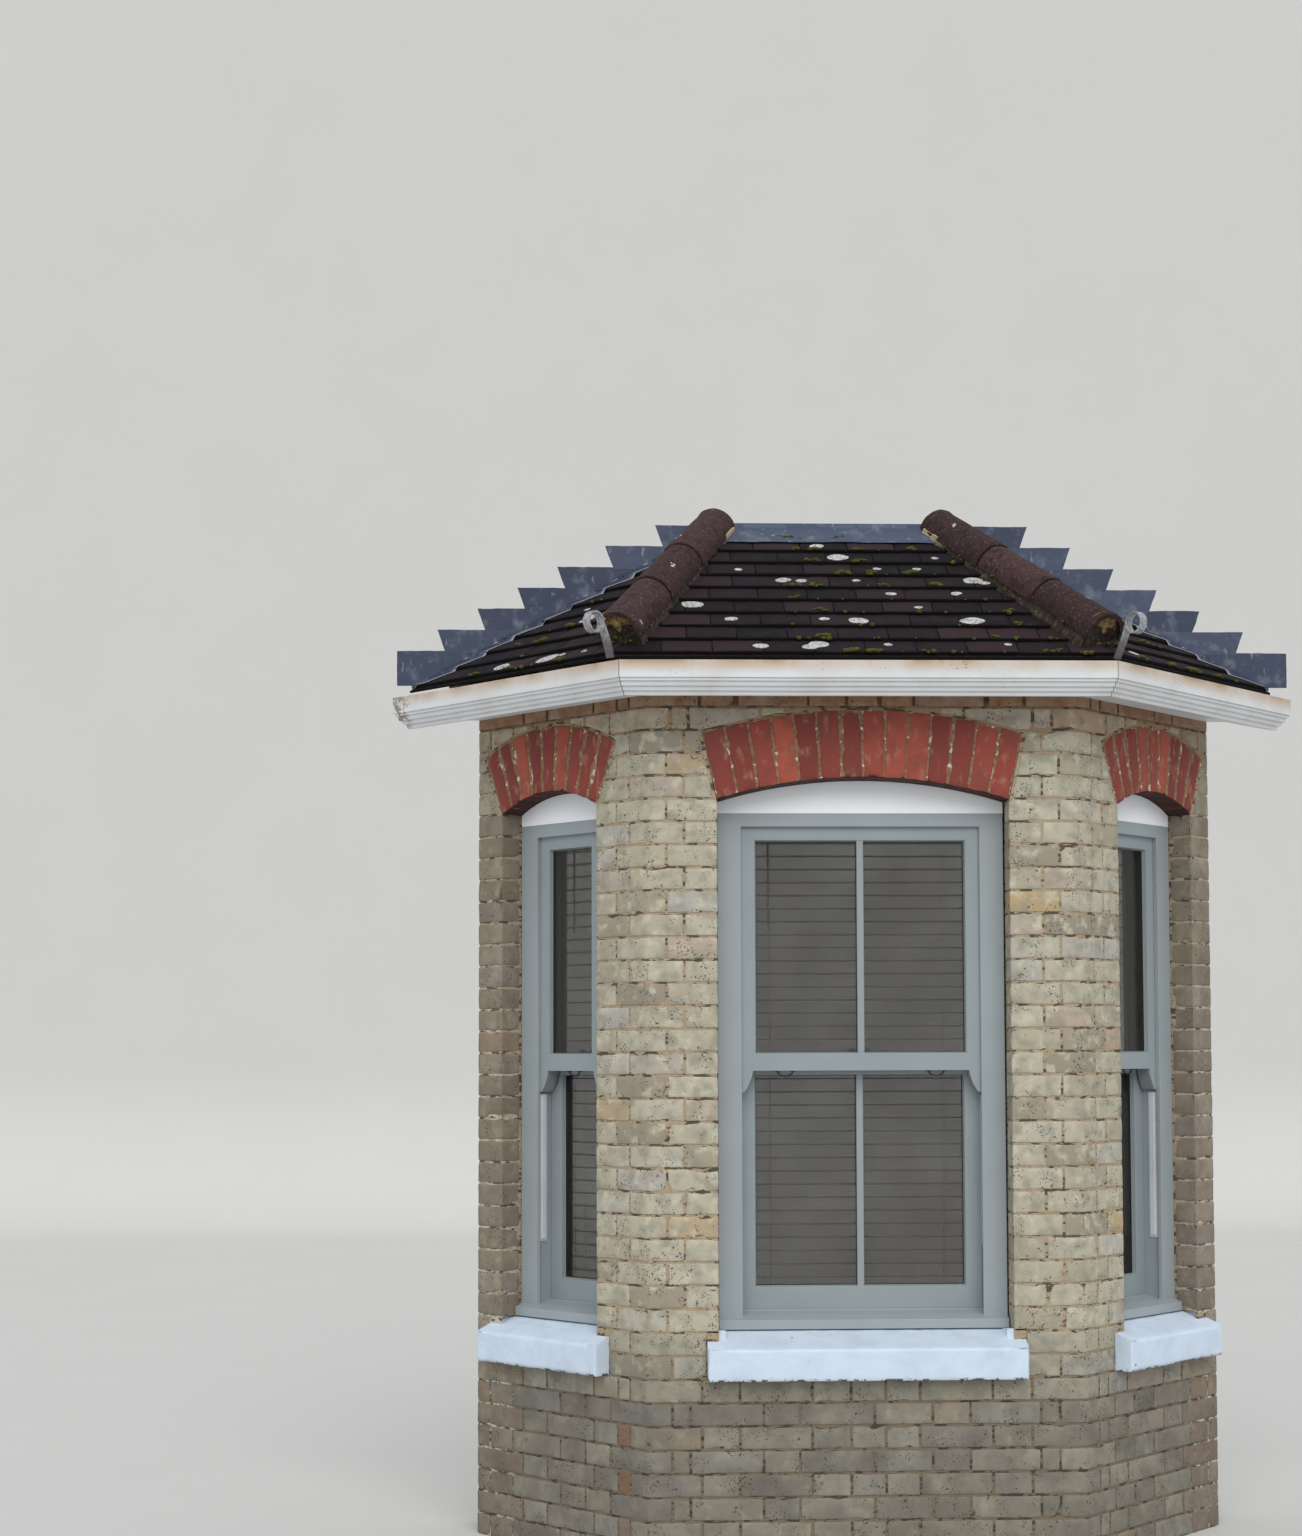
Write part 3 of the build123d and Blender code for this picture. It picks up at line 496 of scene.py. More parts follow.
def arch_mortar():
    # Buff joints with pale smears, and painted shade where they face down under the arch
    finish = Finish("arch_mortar", 0.95)
    finish.shade = finish.ramp(finish.noise(14, 5), (0.35, (112, 82, 60)), (0.65, (150, 118, 90)))
    finish.blotch((202, 190, 172), 22, 6, 0.58, 0.64)
    finish.lay((70, 42, 32), finish.facing_down())
    return finish.done(finish.noise(6, 6), 2)


def red_brick():
    # Red arch bricks with buff smears, and painted shade on their soffits, which face down
    finish = Finish("red_brick", 0.85)
    finish.shade = finish.ramp(finish.look("X"), (0.0, (118, 50, 44)), (0.5, (144, 66, 54)),
                               (1.0, (168, 82, 64)))
    finish.blotch((112, 62, 56), 60, 4, 0.42, 0.72, 0.6)
    finish.blotch((172, 124, 98), 34, 7, 0.54, 0.72, 0.6, (1, 1, 0.5))
    finish.lay((58, 30, 26), finish.facing_down())
    return finish.done(finish.noise(5, 6), 1.5)


def painted(name, tint, worn_tint, roughness=0.45):
    # Gloss paint with slight unevenness and dust
    finish = Finish(name, roughness, tint)
    finish.blotch(worn_tint, 160, 5, 0.35, 0.75, 0.6)
    return finish.done(finish.noise(18, 3), 0.5, 0.3)


def painted_stone():
    # Thick white masonry paint, faintly blue, with black specks and grey chips underneath
    finish = Finish("painted_stone", 0.6, (205, 219, 236))
    finish.blotch((190, 203, 218), 90, 5, 0.35, 0.75, 0.7)
    finish.blotch((168, 170, 166), 26, 6, 0.62, 0.8, 0.45)
    picked = finish.between(finish.cells(60, "Color"), 0.7, 0.71)
    finish.lay((52, 52, 52), finish.between(finish.cells(60), 0.05, 0.08, 1, 0), picked)
    finish.lay((78, 72, 62), finish.level(0.604, 0.611, 1, 0), finish.patches(22, 5, 0.5, 0.56))
    return finish.done(finish.noise(14, 5), 2, 0.5)


def painted_gutter():
    # White gutter, stained cream and brown along its upper band, with dark lines at its mitres
    finish = Finish("painted_gutter", 0.42, (214, 216, 218))
    finish.blotch((194, 192, 188), 140, 5, 0.35, 0.75, 0.5)
    runs = finish.noise(190, 5, (1, 1, 0.5))
    finish.lay((186, 162, 136), finish.level(2.842, 2.888), finish.between(runs, 0.34, 0.62, 0.45, 0.95))
    finish.lay((124, 92, 64), finish.level(2.876, 2.893), finish.between(runs, 0.5, 0.62), 0.35)
    dirt = finish.patches(7, 4, 0.66, 0.7, stretch=(0.4, 0.4, 1))
    finish.lay((96, 74, 56), dirt, finish.patches(120, 3, 0.55, 0.62))
    aside = finish.math("SUBTRACT", finish.math("ABSOLUTE", finish.place("X")), half_front * MM)
    ahead = finish.math("MULTIPLY", finish.math("ADD", finish.place("Y"), bay_depth * MM), mitre)
    off = finish.math("ABSOLUTE", finish.math("ADD", aside, ahead))
    finish.lay((92, 70, 52), finish.between(off, 0.0008, 0.002, 1, 0))
    scuffed = finish.between(finish.place("X"), -1.56, -1.5, 1, 0)
    finish.lay((138, 130, 118), scuffed, finish.patches(24, 6, 0.47, 0.53))
    return finish.done(finish.noise(40, 4), 0.8, 0.3)


@cache
def roof_tile():
    # Near-black tiles, purple-brown where they are cleaner
    finish = Finish("roof_tile", 0.9, Specular_IOR_Level=0.2)
    finish.shade = finish.ramp(finish.look("X"), (0.0, (20, 15, 19)), (0.6, (32, 25, 31)),
                               (1.0, (50, 36, 40)))
    finish.blotch((42, 36, 37), 45, 6, 0.45, 0.75, 0.5)
    finish.blotch((74, 70, 70), 9, 5, 0.6, 0.75, 0.35)
    # Near-black on the tails, which face down: partly dirt, mostly painted shade
    finish.lay((8, 7, 8), finish.facing_down(0.2, 0.62))
    return finish.done(finish.noise(6, 6), 1.5)


@cache
def lichen():
    finish = Finish("lichen", 0.95, (196, 197, 196))
    finish.blotch((128, 126, 122), 9, 6, 0.4, 0.66)
    return finish.done(finish.noise(4, 6), 1.5)


@cache
def moss():
    finish = Finish("moss", 1.0)
    finish.shade = finish.ramp(finish.noise(5, 6), (0.35, (46, 46, 14)), (0.55, (88, 88, 24)),
                               (0.75, (132, 130, 46)))
    finish.lay((58, 60, 22), finish.look("X"), 0.5)
    return finish.done(finish.noise(2, 4), 2.5)


@cache
def hip_tile():
    # Brown-red clay, blotched dark and specked with white
    finish = Finish("hip_tile", 0.9, (54, 37, 37), Specular_IOR_Level=0.25)
    finish.lay((72, 50, 51), finish.look("X"))
    finish.blotch((36, 28, 29), 34, 6, 0.45, 0.7, 0.8)
    finish.blotch((104, 88, 86), 9, 6, 0.55, 0.7, 0.7)
    ragged = finish.math("ADD", finish.cells(95), finish.patches(14, 4, 0.3, 0.7, -0.1, 0.1))
    picked = finish.between(finish.cells(95, "Color"), 0.62, 0.63)
    finish.lay((188, 184, 178), finish.between(ragged, 0.1, 0.14, 1, 0), picked)
    return finish.done(finish.noise(7, 6), 2)


@cache
def bedding():
    # Mortar, dark and mossy along the tiles, yellow-buff in their open mouth and pale at the top
    finish = Finish("bedding", 0.95)
    grain = finish.noise(16, 6)
    dark = finish.ramp(grain, (0.38, (40, 34, 30)), (0.55, (62, 52, 42)), (0.72, (104, 90, 68)))
    buff = finish.ramp(grain, (0.34, (62, 48, 26)), (0.5, (128, 102, 58)), (0.68, (166, 140, 88)))
    finish.shade = finish.mix(finish.look("X"), dark, buff)
    finish.lay((168, 152, 122), finish.level(3.4, 3.46))
    return finish.done(finish.noise(6, 6), 3)


@cache
def lead():
    # Weathered lead, blue-grey, with pale bloom, streaks and edges
    finish = Finish("lead", 0.55, (44, 54, 76), Metallic=0.25)
    finish.lay((68, 78, 100), finish.look("X"))
    finish.blotch((104, 112, 126), 60, 6, 0.5, 0.7, 0.7)
    finish.blotch((150, 154, 160), 24, 6, 0.62, 0.72, 0.6, (1, 1, 0.3))
    finish.lay((176, 180, 188), finish.look("Y"), 0.8)
    return finish.done(finish.noise(30, 5), 2, 0.5)


@cache
def galvanised():
    # Mottled zinc, darker towards the foot
    finish = Finish("galvanised", 0.5, (170, 172, 174), Metallic=0.3)
    finish.lay((138, 140, 142), finish.between(finish.cells(9, "Color"), 0.3, 0.7))
    finish.blotch((96, 92, 84), 20, 6, 0.55, 0.7, 0.8)
    finish.lay((96, 88, 92), finish.level(2.95, 2.99, 0.8, 0))
    return finish.done(finish.noise(8, 5), 0.8)


def window_glass():
    # Dark sealed panes, tinted and partly opaque as painted shade of the room behind them; light reaches the
    # blinds through them undimmed
    finish = Finish("window_glass", 0.03, (34, 30, 22), IOR=1.5)
    lit = finish.math("SUBTRACT", 1.0, finish.node("LightPath", {}, "Is Shadow Ray"))
    painted_shade_alpha = finish.math("MULTIPLY", finish.patches(220, 4, 0.3, 0.7, 0.38, 0.42), lit)
    finish.feed(finish.shader, {"Alpha": painted_shade_alpha})
    finish.lay((42, 36, 26), finish.noise(300, 3))
    return finish.done()


def metal(name, tint, second, roughness=0.4, metallic=0.8):
    finish = Finish(name, roughness, tint, Metallic=metallic)
    finish.blotch(second, 14, 5, 0.35, 0.7)
    return finish.done(finish.noise(6, 4), 0.4)


def blind_slat():
    finish = Finish("blind_slat", 0.5, (250, 246, 234))
    finish.lay((244, 238, 222), finish.look("X"))
    finish.blotch((232, 224, 206), 50, 5, 0.45, 0.75, 0.4)
    return finish.done(finish.noise(30, 3), 0.3)


def bare_timber():
    # Sawn softwood with its grain
    finish = Finish("bare_timber", 0.8)
    grain = finish.noise(9, 6, (0.06, 1, 1))
    finish.shade = finish.ramp(grain, (0.35, (150, 120, 84)), (0.5, (172, 140, 100)),
                               (0.7, (188, 158, 116)))
    return finish.done(grain, 1.5)


def plaster():
    finish = Finish("plaster", 0.9, (212, 206, 196))
    finish.blotch((202, 195, 184), 260, 5, 0.35, 0.7)
    return finish.done(finish.noise(25, 5), 0.8, 0.4)


def floorboards():
    # Boards along the wall, their joints dark
    board_width = 120
    finish = Finish("floorboards", 0.6)
    across = finish.math("MULTIPLY", finish.place("Y"), 1 / (board_width * MM))
    share = finish.math("SUBTRACT", across, finish.math("FLOOR", across))
    off = finish.math("ABSOLUTE", finish.math("SUBTRACT", share, 0.5))
    grain = finish.noise(40, 6, (0.12, 1, 1))
    finish.shade = finish.ramp(grain, (0.35, (120, 88, 58)), (0.7, (168, 130, 90)))
    finish.lay((40, 30, 22), finish.between(off, 0.485, 0.495))
    return finish.done(grain, 1)


brick_finish = stock_brick()
mortar_finish = mortar()
slat_finish = blind_slat()
joinery_paint = painted("joinery_paint", (145, 155, 158), (136, 147, 149), 0.4)
white_paint = painted("white_paint", (214, 218, 224), (196, 199, 203))
# The joinery paint lightened for the box frames, as painted light against the shade of the reveals
lit_frame_paint = painted("lit_frame_paint", (153, 162, 166), (145, 155, 158), 0.4)
# The white board paint lightened for the head infills, as painted light against the shade under the arches
lit_infill_paint = painted("lit_infill_paint", (250, 252, 255), (243, 246, 250))
board_paint = painted("board_paint", (222, 227, 233), (204, 208, 212))


# Brickwork. Joints are measured from each corner, for even courses and then for odd ones
front_bond = [(80, 138, 373, 490, 731, 918, 1040, 1268, 1330), (175, 297, 530, 655, 767, 877, 1113, 1240)]
side_bond = [(171, 288, 407, 642, 757), (80, 135, 247, 472, 590)]
front_squint = [65, 122]
side_squint = [140, 80]
sill_front_joint = [(80,), ()]
sill_side_joint = [(), (80,)]
turned_joint = [(102,), ()]
splashed_courses = 7
# How brown the courses under the gutter are: partly stain, partly painted shade of the gutter
stained_and_shaded_courses = {36: 0.3, 37: 0.85}
cut_course = 36
arch_courses = range(arch_spring // course + 1, cut_course)
thinnest_brick = 14
shortest_brick = 30

# How dirty the bricks of each part are
ground_grime = 0.88
base_grime = 0.62
sill_grime = 0.42
sill_end_grime = 0.6
pier_grime = 0.12
wall_pier_grime = 0.75
arch_grime = 0.2
arch_wall_grime = 0.5
arch_end_grime = 0.4
top_grime = 0.05
cut_end_grime = 0.1

perimeter = Path((-half_back, house_wall), (-half_back, 0), (-half_front, -bay_depth),
                 (half_front, -bay_depth), (half_back, 0), (half_back, house_wall))
left_turn, left_corner, right_corner, right_turn = perimeter.bends
face_starts = {"left": left_turn, "front": left_corner, "right": right_corner}
corners = ((left_corner, side_squint, front_squint), (right_corner, front_squint, side_squint))


class Brickwork:
    # Lays courses along paths and keeps the bricks of each face together
    def __init__(self):
        self.batches = {face.name: Batch() for face in faces}
        self.count = 0

    def brick(self, path, start, end, number, grime, trim=None):
        self.count += 1
        cell = int(start), number * 91, self.count
        tone = pick(*cell, seed=11)
        middle = path.place((start + end) / 2, 0, 0)[0]
        face = "front"
        if abs(middle) > half_front + 1:
            face = "left" if middle < 0 else "right"
        # Browner by the wall, and on short bricks low down at the left corner; browner and darker in the
        # courses under the gutter, partly stain and partly painted shade of the gutter
        warm_stain_and_shade = stained_and_shaded_courses.get(number, 0.25 * grime * (abs(middle) > half_back - 150))
        if number < 6 and end - start < 150 and abs(middle + half_front) < 90:
            warm_stain_and_shade = 0.75 * tone
        grime = grime * (0.88 + 0.24 * pick(*cell, seed=12))
        up = number * course + joint / 2, (number + 1) * course - joint / 2
        lay_block(self.batches[face], path.place, (start + joint / 2, end - joint / 2), up,
                  (tone, grime, warm_stain_and_shade), self.count, bends=path.bends, trim=trim)

    def run(self, path, joints, number, grime):
        for start, end in zip(joints[:-1], joints[1:]):
            self.brick(path, start, end, number, grime)


brickwork = Brickwork()


def end_joints(path, number):
    # Joints at both ends of a path, where it runs back through the house wall
    reaches = turned_joint[number % 2]
    return [0, *reaches], [*(path.end - reach for reach in reaches), path.end]


def round_bay(number):
    # Joints of a whole course round the bay
    odd = number % 2
    first, final = end_joints(perimeter, number)
    return [*first, left_turn,
            *(left_corner - reach for reach in reversed(side_bond[odd])),
            *(left_corner + reach for reach in front_bond[odd]),
            *(right_corner + reach for reach in side_bond[odd]),
            right_turn, *final]


def lay_base():
    for number in range(sill_seat // course):
        grime = ground_grime if number < splashed_courses else base_grime
        brickwork.run(perimeter, round_bay(number), number, grime)


def lay_beside_sills():
    # Two courses between the sills, which are built in with their ears
    wall_reach = house_wall + wall_pier - left.ear
    for number in range(sill_seat // course, sill_top // course):
        odd = number % 2
        reaches = np.array([left.ear - corner_pier, *(-reach for reach in sill_side_joint[odd]),
                            *sill_front_joint[odd], front_pier - front.ear])
        brickwork.run(perimeter, left_corner + reaches, number, sill_grime)
        brickwork.run(perimeter, right_corner - reaches[::-1], number, sill_grime)
        first, final = end_joints(perimeter, number)
        brickwork.run(perimeter, [*first, wall_reach], number, sill_end_grime)
        brickwork.run(perimeter, [perimeter.end - wall_reach, *final], number, sill_end_grime)


def lay_piers():
    # Corner piers and wall-side piers, whose end bricks turn into the reveals
    left_edge, right_edge = left.middle + left.half, right.middle - right.half
    near, far = front_pier, front_width - front_pier
    left_pier = Path(left.plan(left_edge, -left.recess), left.plan(left_edge), front.plan(0),
                     front.plan(near), front.plan(near, -front.recess))
    right_pier = Path(front.plan(far, -front.recess), front.plan(far), right.plan(0),
                      right.plan(right_edge), right.plan(right_edge, -right.recess))
    left_wall = Path((-half_back, house_wall), (-half_back, 0), left.plan(wall_pier),
                     left.plan(wall_pier, -left.recess))
    edge = side_width - wall_pier
    right_wall = Path(right.plan(edge, -right.recess), right.plan(edge),
                      (half_back, 0), (half_back, house_wall))
    for number in range(sill_top // course, arch_courses[0]):
        odd = number % 2
        for path, (_, before, after) in zip((left_pier, right_pier), corners):
            corner = path.marks[2]
            joints = [0, corner - before[odd], corner + after[odd], path.end]
            brickwork.run(path, joints, number, pier_grime)
        first, _ = end_joints(left_wall, number)
        brickwork.run(left_wall, [*first, house_wall, left_wall.end], number, wall_pier_grime)
        _, final = end_joints(right_wall, number)
        brickwork.run(right_wall, [0, right_wall.end - house_wall, *final], number, wall_pier_grime)


def lay_cut_brick(face, side, held, number, grime):
    # A brick from a joint to the side of an arch, cut row by row to its slope
    middle = face_starts[face.name] + face.middle
    widest = face.half_gap(number * course)

    def trim(wide, high):
        gap = np.maximum(face.half_gap(high) + arch_clearance, widest)
        scale = (held - middle - side * gap) / (held - middle - side * widest)
        return held + (wide - held) * scale, high

    start, end = sorted((held, middle + side * widest))
    brickwork.brick(perimeter, start, end, number, grime, trim)


def lay_beside_arches():
    for number in arch_courses:
        odd = number % 2
        lay_cut_brick(left, 1, left_corner - side_squint[odd], number, arch_grime)
        lay_cut_brick(front, -1, left_corner + front_squint[odd], number, arch_grime)
        lay_cut_brick(front, 1, right_corner - front_squint[odd], number, arch_grime)
        lay_cut_brick(right, -1, right_corner + side_squint[odd], number, arch_grime)
        for corner, before, after in corners:
            brickwork.brick(perimeter, corner - before[odd], corner + after[odd], number, arch_grime)
        lay_cut_brick(left, -1, left_turn, number, arch_wall_grime)
        lay_cut_brick(right, 1, right_turn, number, arch_wall_grime)
        first, final = end_joints(perimeter, number)
        brickwork.run(perimeter, [*first, left_turn], number, arch_end_grime)
        brickwork.run(perimeter, [perimeter.end - house_wall, *final], number, arch_end_grime)


def arch_level(across):
    # Level of the arches' backs along the perimeter
    level = np.zeros_like(across)
    for face in faces:
        part = across - face_starts[face.name]
        level = np.where((part > 0) & (part < face.width), face.arch_top(part), level)
    return level


def lay_over_arches():
    # Two courses round the bay; the lower one is cut to the backs of the arches
    def trim(wide, high):
        bottom, top = high.min(), high.max()
        lowest = np.maximum(bottom, arch_level(wide) + arch_clearance)
        return wide, top - (top - high) * (top - lowest) / (top - bottom)

    for number in range(arch_courses[-1] + 1, wall_top // course):
        top = (number + 1) * course - joint / 2
        joints = round_bay(number)
        for start, end in zip(joints[:-1], joints[1:]):
            across = np.arange(start + joint / 2, end - joint / 2, 4.0)
            solid = top - arch_level(across) - arch_clearance > thinnest_brick
            edges = np.flatnonzero(np.diff(np.pad(solid.astype(int), 1)))
            cut = trim if number == cut_course else None
            for first, after in zip(edges[::2], edges[1::2]):
                low, high = across[first] - joint / 2, across[after - 1] + joint / 2
                if high - low > shortest_brick:
                    brickwork.brick(perimeter, low, high, number, top_grime, cut)


def lay_cut_ends():
    # The sawn ends of the wall, where the house is cut away
    width = house_wall * (sqrt(2) - 1)
    for side in (-1, 1):
        low, high = sorted((side * half_back, side * (half_back - width)))
        path = Path((high, house_wall - cut_inset), (low, house_wall - cut_inset))
        for number in range(wall_top // course):
            brickwork.run(path, [-joint / 2, width + joint / 2], number, cut_end_grime)


def recess_wall(face):
    # The wall behind the bricks: its outer face and reveals lie behind theirs by the joint's depth
    def move(points, normals):
        across, up, out = face.measure(points)
        off = across - face.middle
        plan = points.copy()
        plan[out > -1, :2] -= mortar_setback * face.outward
        in_reveal = (np.abs(np.abs(off) - face.half) < 1) & (up > sill_seat) & (out > -face.recess - 30)
        plan[in_reveal, :2] += (np.sign(off) * mortar_setback)[in_reveal, None] * face.along
        turned = np.abs(np.abs(points[:, 0]) - half_back) < 1
        plan[turned, 0] -= np.sign(points[turned, 0]) * mortar_setback
        plan[:, 1] = np.minimum(plan[:, 1], house_wall - mortar_setback)
        return plan
    return move


lay_base()
lay_beside_sills()
lay_piers()
lay_beside_arches()
lay_over_arches()
lay_cut_ends()
for name, batch in brickwork.batches.items():
    batch.make(f"{name}_bricks", "stock_brick", brick_finish, f"{name}_wall")
for face in faces:
    wall = f"{face.name}_wall"
    reshaped_copy(f"{wall}_core", "stock_brick", mortar_finish, wall, recess_wall(face))


# Arches
class Fan:
    # Places points of an arch: across by the angle of its joints, up from soffit to back, out from the face
    def __init__(self, face):
        self.face = face
        self.centre = arch_spring - face.fan_depth
        self.half_angle = atan(face.half / face.fan_depth)
        self.reach = face.fan_depth + face.rise + arch_depth / 2

    def distance(self, angle, radius):
        drop = self.centre - self.face.arch_centre
        return -drop * np.cos(angle) + np.sqrt(radius**2 - (drop * np.sin(angle)) ** 2)

    def point(self, angle, distance, out):
        across = self.face.middle + distance * np.sin(angle)
        return self.face.place(across, self.centre + distance * np.cos(angle), out)

    def place(self, across, up, out):
        angle = across / self.reach
        soffit = self.distance(angle, self.face.soffit_radius)
        back = self.distance(angle, self.face.back_radius)
        under = up <= 0.01
        distance = np.where(under, soffit - out, soffit + up / arch_depth * (back - soffit))
        inward = np.minimum(up, 0) + np.where(up > -0.01, out, 0)
        return self.point(angle, distance, np.where(under, inward, out))


def lay_arch(face, finish):
    fan = Fan(face)
    batch = Batch()
    edges = np.linspace(-fan.half_angle, fan.half_angle, face.voussoirs + 1) * fan.reach
    gap = front_arch_joint if face is front else side_arch_joint
    for number, (start, end) in enumerate(zip(edges[:-1], edges[1:])):
        tone = pick(number, face.voussoirs, int(face.start[0]), seed=5)
        lay_block(batch, fan.place, (start + gap / 2, end - gap / 2), (-face.recess, arch_depth - 4),
                  (tone, 0, 0), number + 7 * face.voussoirs, rises=(0,), wobble=3, worn=1.6)
    batch.make(f"{face.name}_arch_bricks", "red_brick", finish, f"{face.name}_arch")


def fill_arch(face, finish):
    # The mortar of the arch, a ring behind the faces of its bricks
    fan = Fan(face)
    batch = Batch()
    angle = np.linspace(-fan.half_angle, fan.half_angle, 40)[:, None]
    low = fan.distance(angle, face.soffit_radius + mortar_setback)
    high = fan.distance(angle, face.back_radius - 1)
    out = np.array([-mortar_setback, -mortar_setback, -arch_back, -arch_back])
    batch.column(fan.point(angle, np.concatenate([low, high, high, low], axis=1), out))
    batch.make(f"{face.name}_arch_mortar", "red_brick", finish, f"{face.name}_arch", smooth=False)


red_finish, arch_mortar_finish = red_brick(), arch_mortar()
for face in faces:
    lay_arch(face, red_finish)
    fill_arch(face, arch_mortar_finish)


# Roof
eaves_reach = {"left": 171, "front": 130, "right": 161}
eaves_height = 2935.98
ridge_height = 3504.65
hip_tops = {"left": (-467, 0), "right": (350, 0)}
tile_gauge = 92
tile_step = 12
tile_width = 165
tile_lap = 6
tile_gap = 2.4
half_row = 20
narrowest_tile = 15
shortest_tile = 20

eaves_corners = {}
eaves_backs = {}
for sign, name in ((-1, "left"), (1, "right")):
    past_front = eaves_reach[name] - eaves_reach["front"]
    corner_reach = half_front + eaves_reach[name] * mitre + past_front
    eaves_corners[name] = (sign * corner_reach, -bay_depth - eaves_reach["front"])
    eaves_backs[name] = (sign * (half_back + eaves_reach[name] * sqrt(2)), 0)


class Slope:
    # One roof slope: across along the eaves, up its surface, and out square to it
    def __init__(self, face, ends, tops):
        self.face = face
        self.reach = eaves_reach[face.name]
        ends, tops = (face.measure(np.array([(*spot, 0.0) for spot in line])) for line in (ends, tops))
        self.low, self.high = ends[0]
        self.left_top, self.right_top = tops[0]
        run = self.reach - tops[2][0]
        self.angle = atan2(ridge_height - eaves_height, run)
        self.length = run / cos(self.angle)

    def place(self, across, up, out):
        level = eaves_height + up * sin(self.angle) + out * cos(self.angle)
        reach = self.reach - up * cos(self.angle) + out * sin(self.angle)
        return self.face.place(across, level, reach)

    def limits(self, up):
        part = up / self.length
        return self.low + part * (self.left_top - self.low), self.high + part * (self.right_top - self.high)

    def fall(self, up):
        # How far the face of a tile lies under the line of the tails
        return tile_step * (up % tile_gauge) / tile_gauge

    def height(self, points, tiled=False):
        # Level of the slope, or of its tiles, over points in plan
        up = (self.reach - self.face.measure(points)[2]) / cos(self.angle)
        drop = self.fall(up) / cos(self.angle) if tiled else 0
        return eaves_height + up * sin(self.angle) - drop


slopes = {
    "left": Slope(left, (eaves_backs["left"], eaves_corners["left"]), [hip_tops["left"]] * 2),
    "front": Slope(front, eaves_corners.values(), hip_tops.values()),
    "right": Slope(right, (eaves_corners["right"], eaves_backs["right"]), [hip_tops["right"]] * 2)}


def lay_tiles(slope):
    batch = Batch()
    seed = 900 + int(slope.face.start[0])
    for number in range(int(slope.length / tile_gauge) + 1):
        tail = number * tile_gauge
        head = min(tail + tile_gauge + tile_lap, slope.length)
        low, high = slope.limits(tail)
        first = slope.face.width / 2 + tile_width * (0.5 * (number % 2) - half_row)
        for column in range(2 * half_row):
            start = max(first + column * tile_width, low)
            end = min(first + (column + 1) * tile_width, high)
            if end - start < narrowest_tile or head - tail < shortest_tile:
                continue
            seed += 1
            lift = 1.5 * pick(seed, column, number, seed=4)

            def trim(wide, up, start=start, end=end):
                left_edge, right_edge = slope.limits(up)
                from_left = np.maximum(start, left_edge + 2)
                to_right = np.maximum(np.minimum(end, right_edge - 2), from_left + 0.5)
                return from_left + (wide - start) / (end - start) * (to_right - from_left), up

            def place(across, up, out, tail=tail, lift=lift):
                return slope.place(across, up, out - tile_step * (up - tail) / tile_gauge - lift)

            lay_block(batch, place, (start + tile_gap / 2, end - tile_gap / 2), (tail, head),
                      (pick(seed, number, column, seed=3), 0, 0), seed,
                      trim=trim, cell=24, worn=2.5, rough=0.6, wobble=0.8, chip=2)
    batch.make(f"{slope.face.name}_tiles", "clay_tile", roof_tile(), f"{slope.face.name}_roof_tiles")


def settle_slope(slope):
    # The CAD slope sinks until the tiles cover it
    def move(points, normals):
        settled = points.copy()
        settled[:, 2] = np.minimum(points[:, 2], slope.height(points) - (tile_step + 2) / cos(slope.angle))
        return settled
    return move


for name, slope in slopes.items():
    lay_tiles(slope)
    reshaped_copy(f"{name}_tile_bed", "clay_tile", roof_tile(), f"{name}_roof_tiles", settle_slope(slope))


# Lichen and moss on the tiles
def patch_points(rings, sides, seed):
    # Polar grid of a ragged round patch of unit size
    turn = np.linspace(0, 2 * np.pi, sides, endpoint=False)
    edge = 1 + 0.22 * noise(spots(np.cos(turn), np.sin(turn), 5.0 * seed), 0.7)
    part = np.linspace(1, 0.02, rings)[:, None]
    return part * edge * np.cos(turn), part * edge * np.sin(turn), 1 - part + 0 * turn


def grow_lichen(slope, count, low, high, seed):
    # White patches, mostly wider than high, each within the face of one course
    batch = Batch()
    rings, sides = 4, 18
    for number in range(count):
        draw = draws(6, number, seed, 21)
        row = int(draw[0] * (slope.length - tile_gauge) / tile_gauge)
        size = 13 + 30 * draw[1]**2
        up = (row + 0.35 + 0.4 * draw[2]) * tile_gauge
        left_edge, right_edge = slope.limits(up)
        across = left_edge + (right_edge - left_edge) * (low + (high - low) * draw[3])
        wide, tall, rise = patch_points(rings, sides, number + seed)
        up = up + min(0.75 * size, 0.36 * tile_gauge) * tall
        up = np.clip(up, row * tile_gauge + 4, (row + 1) * tile_gauge - 4)
        out = -slope.fall(up) + 0.5 + 0.8 * np.minimum(rise * 4, 1)
        skin = slope.place(across + size * wide, up, out)
        root = slope.place(across + size * wide, up, out - 3)
        batch.add(skin[::-1], tube_faces(rings, sides), (draw[4], 0, 0))
        batch.add(np.stack([root[0], skin[0]]), tube_faces(2, sides), (draw[4], 0, 0))
    return batch


def add_clump(batch, middle, size, seed, flat=0.7):
    # A lumpy cushion of moss
    polar = np.linspace(0.02, np.pi - 0.02, 5)[:, None]
    turn = np.linspace(0, 2 * np.pi, 9, endpoint=False)
    ball = spots(np.sin(polar) * np.cos(turn), np.sin(polar) * np.sin(turn), flat * np.cos(polar))
    lump = 1 + 0.35 * noise(ball + 9.0 * seed, 0.6)
    batch.column((ball * lump[..., None] * size + middle)[::-1], (pick(seed, 3, 1, seed=8), 0, 0))


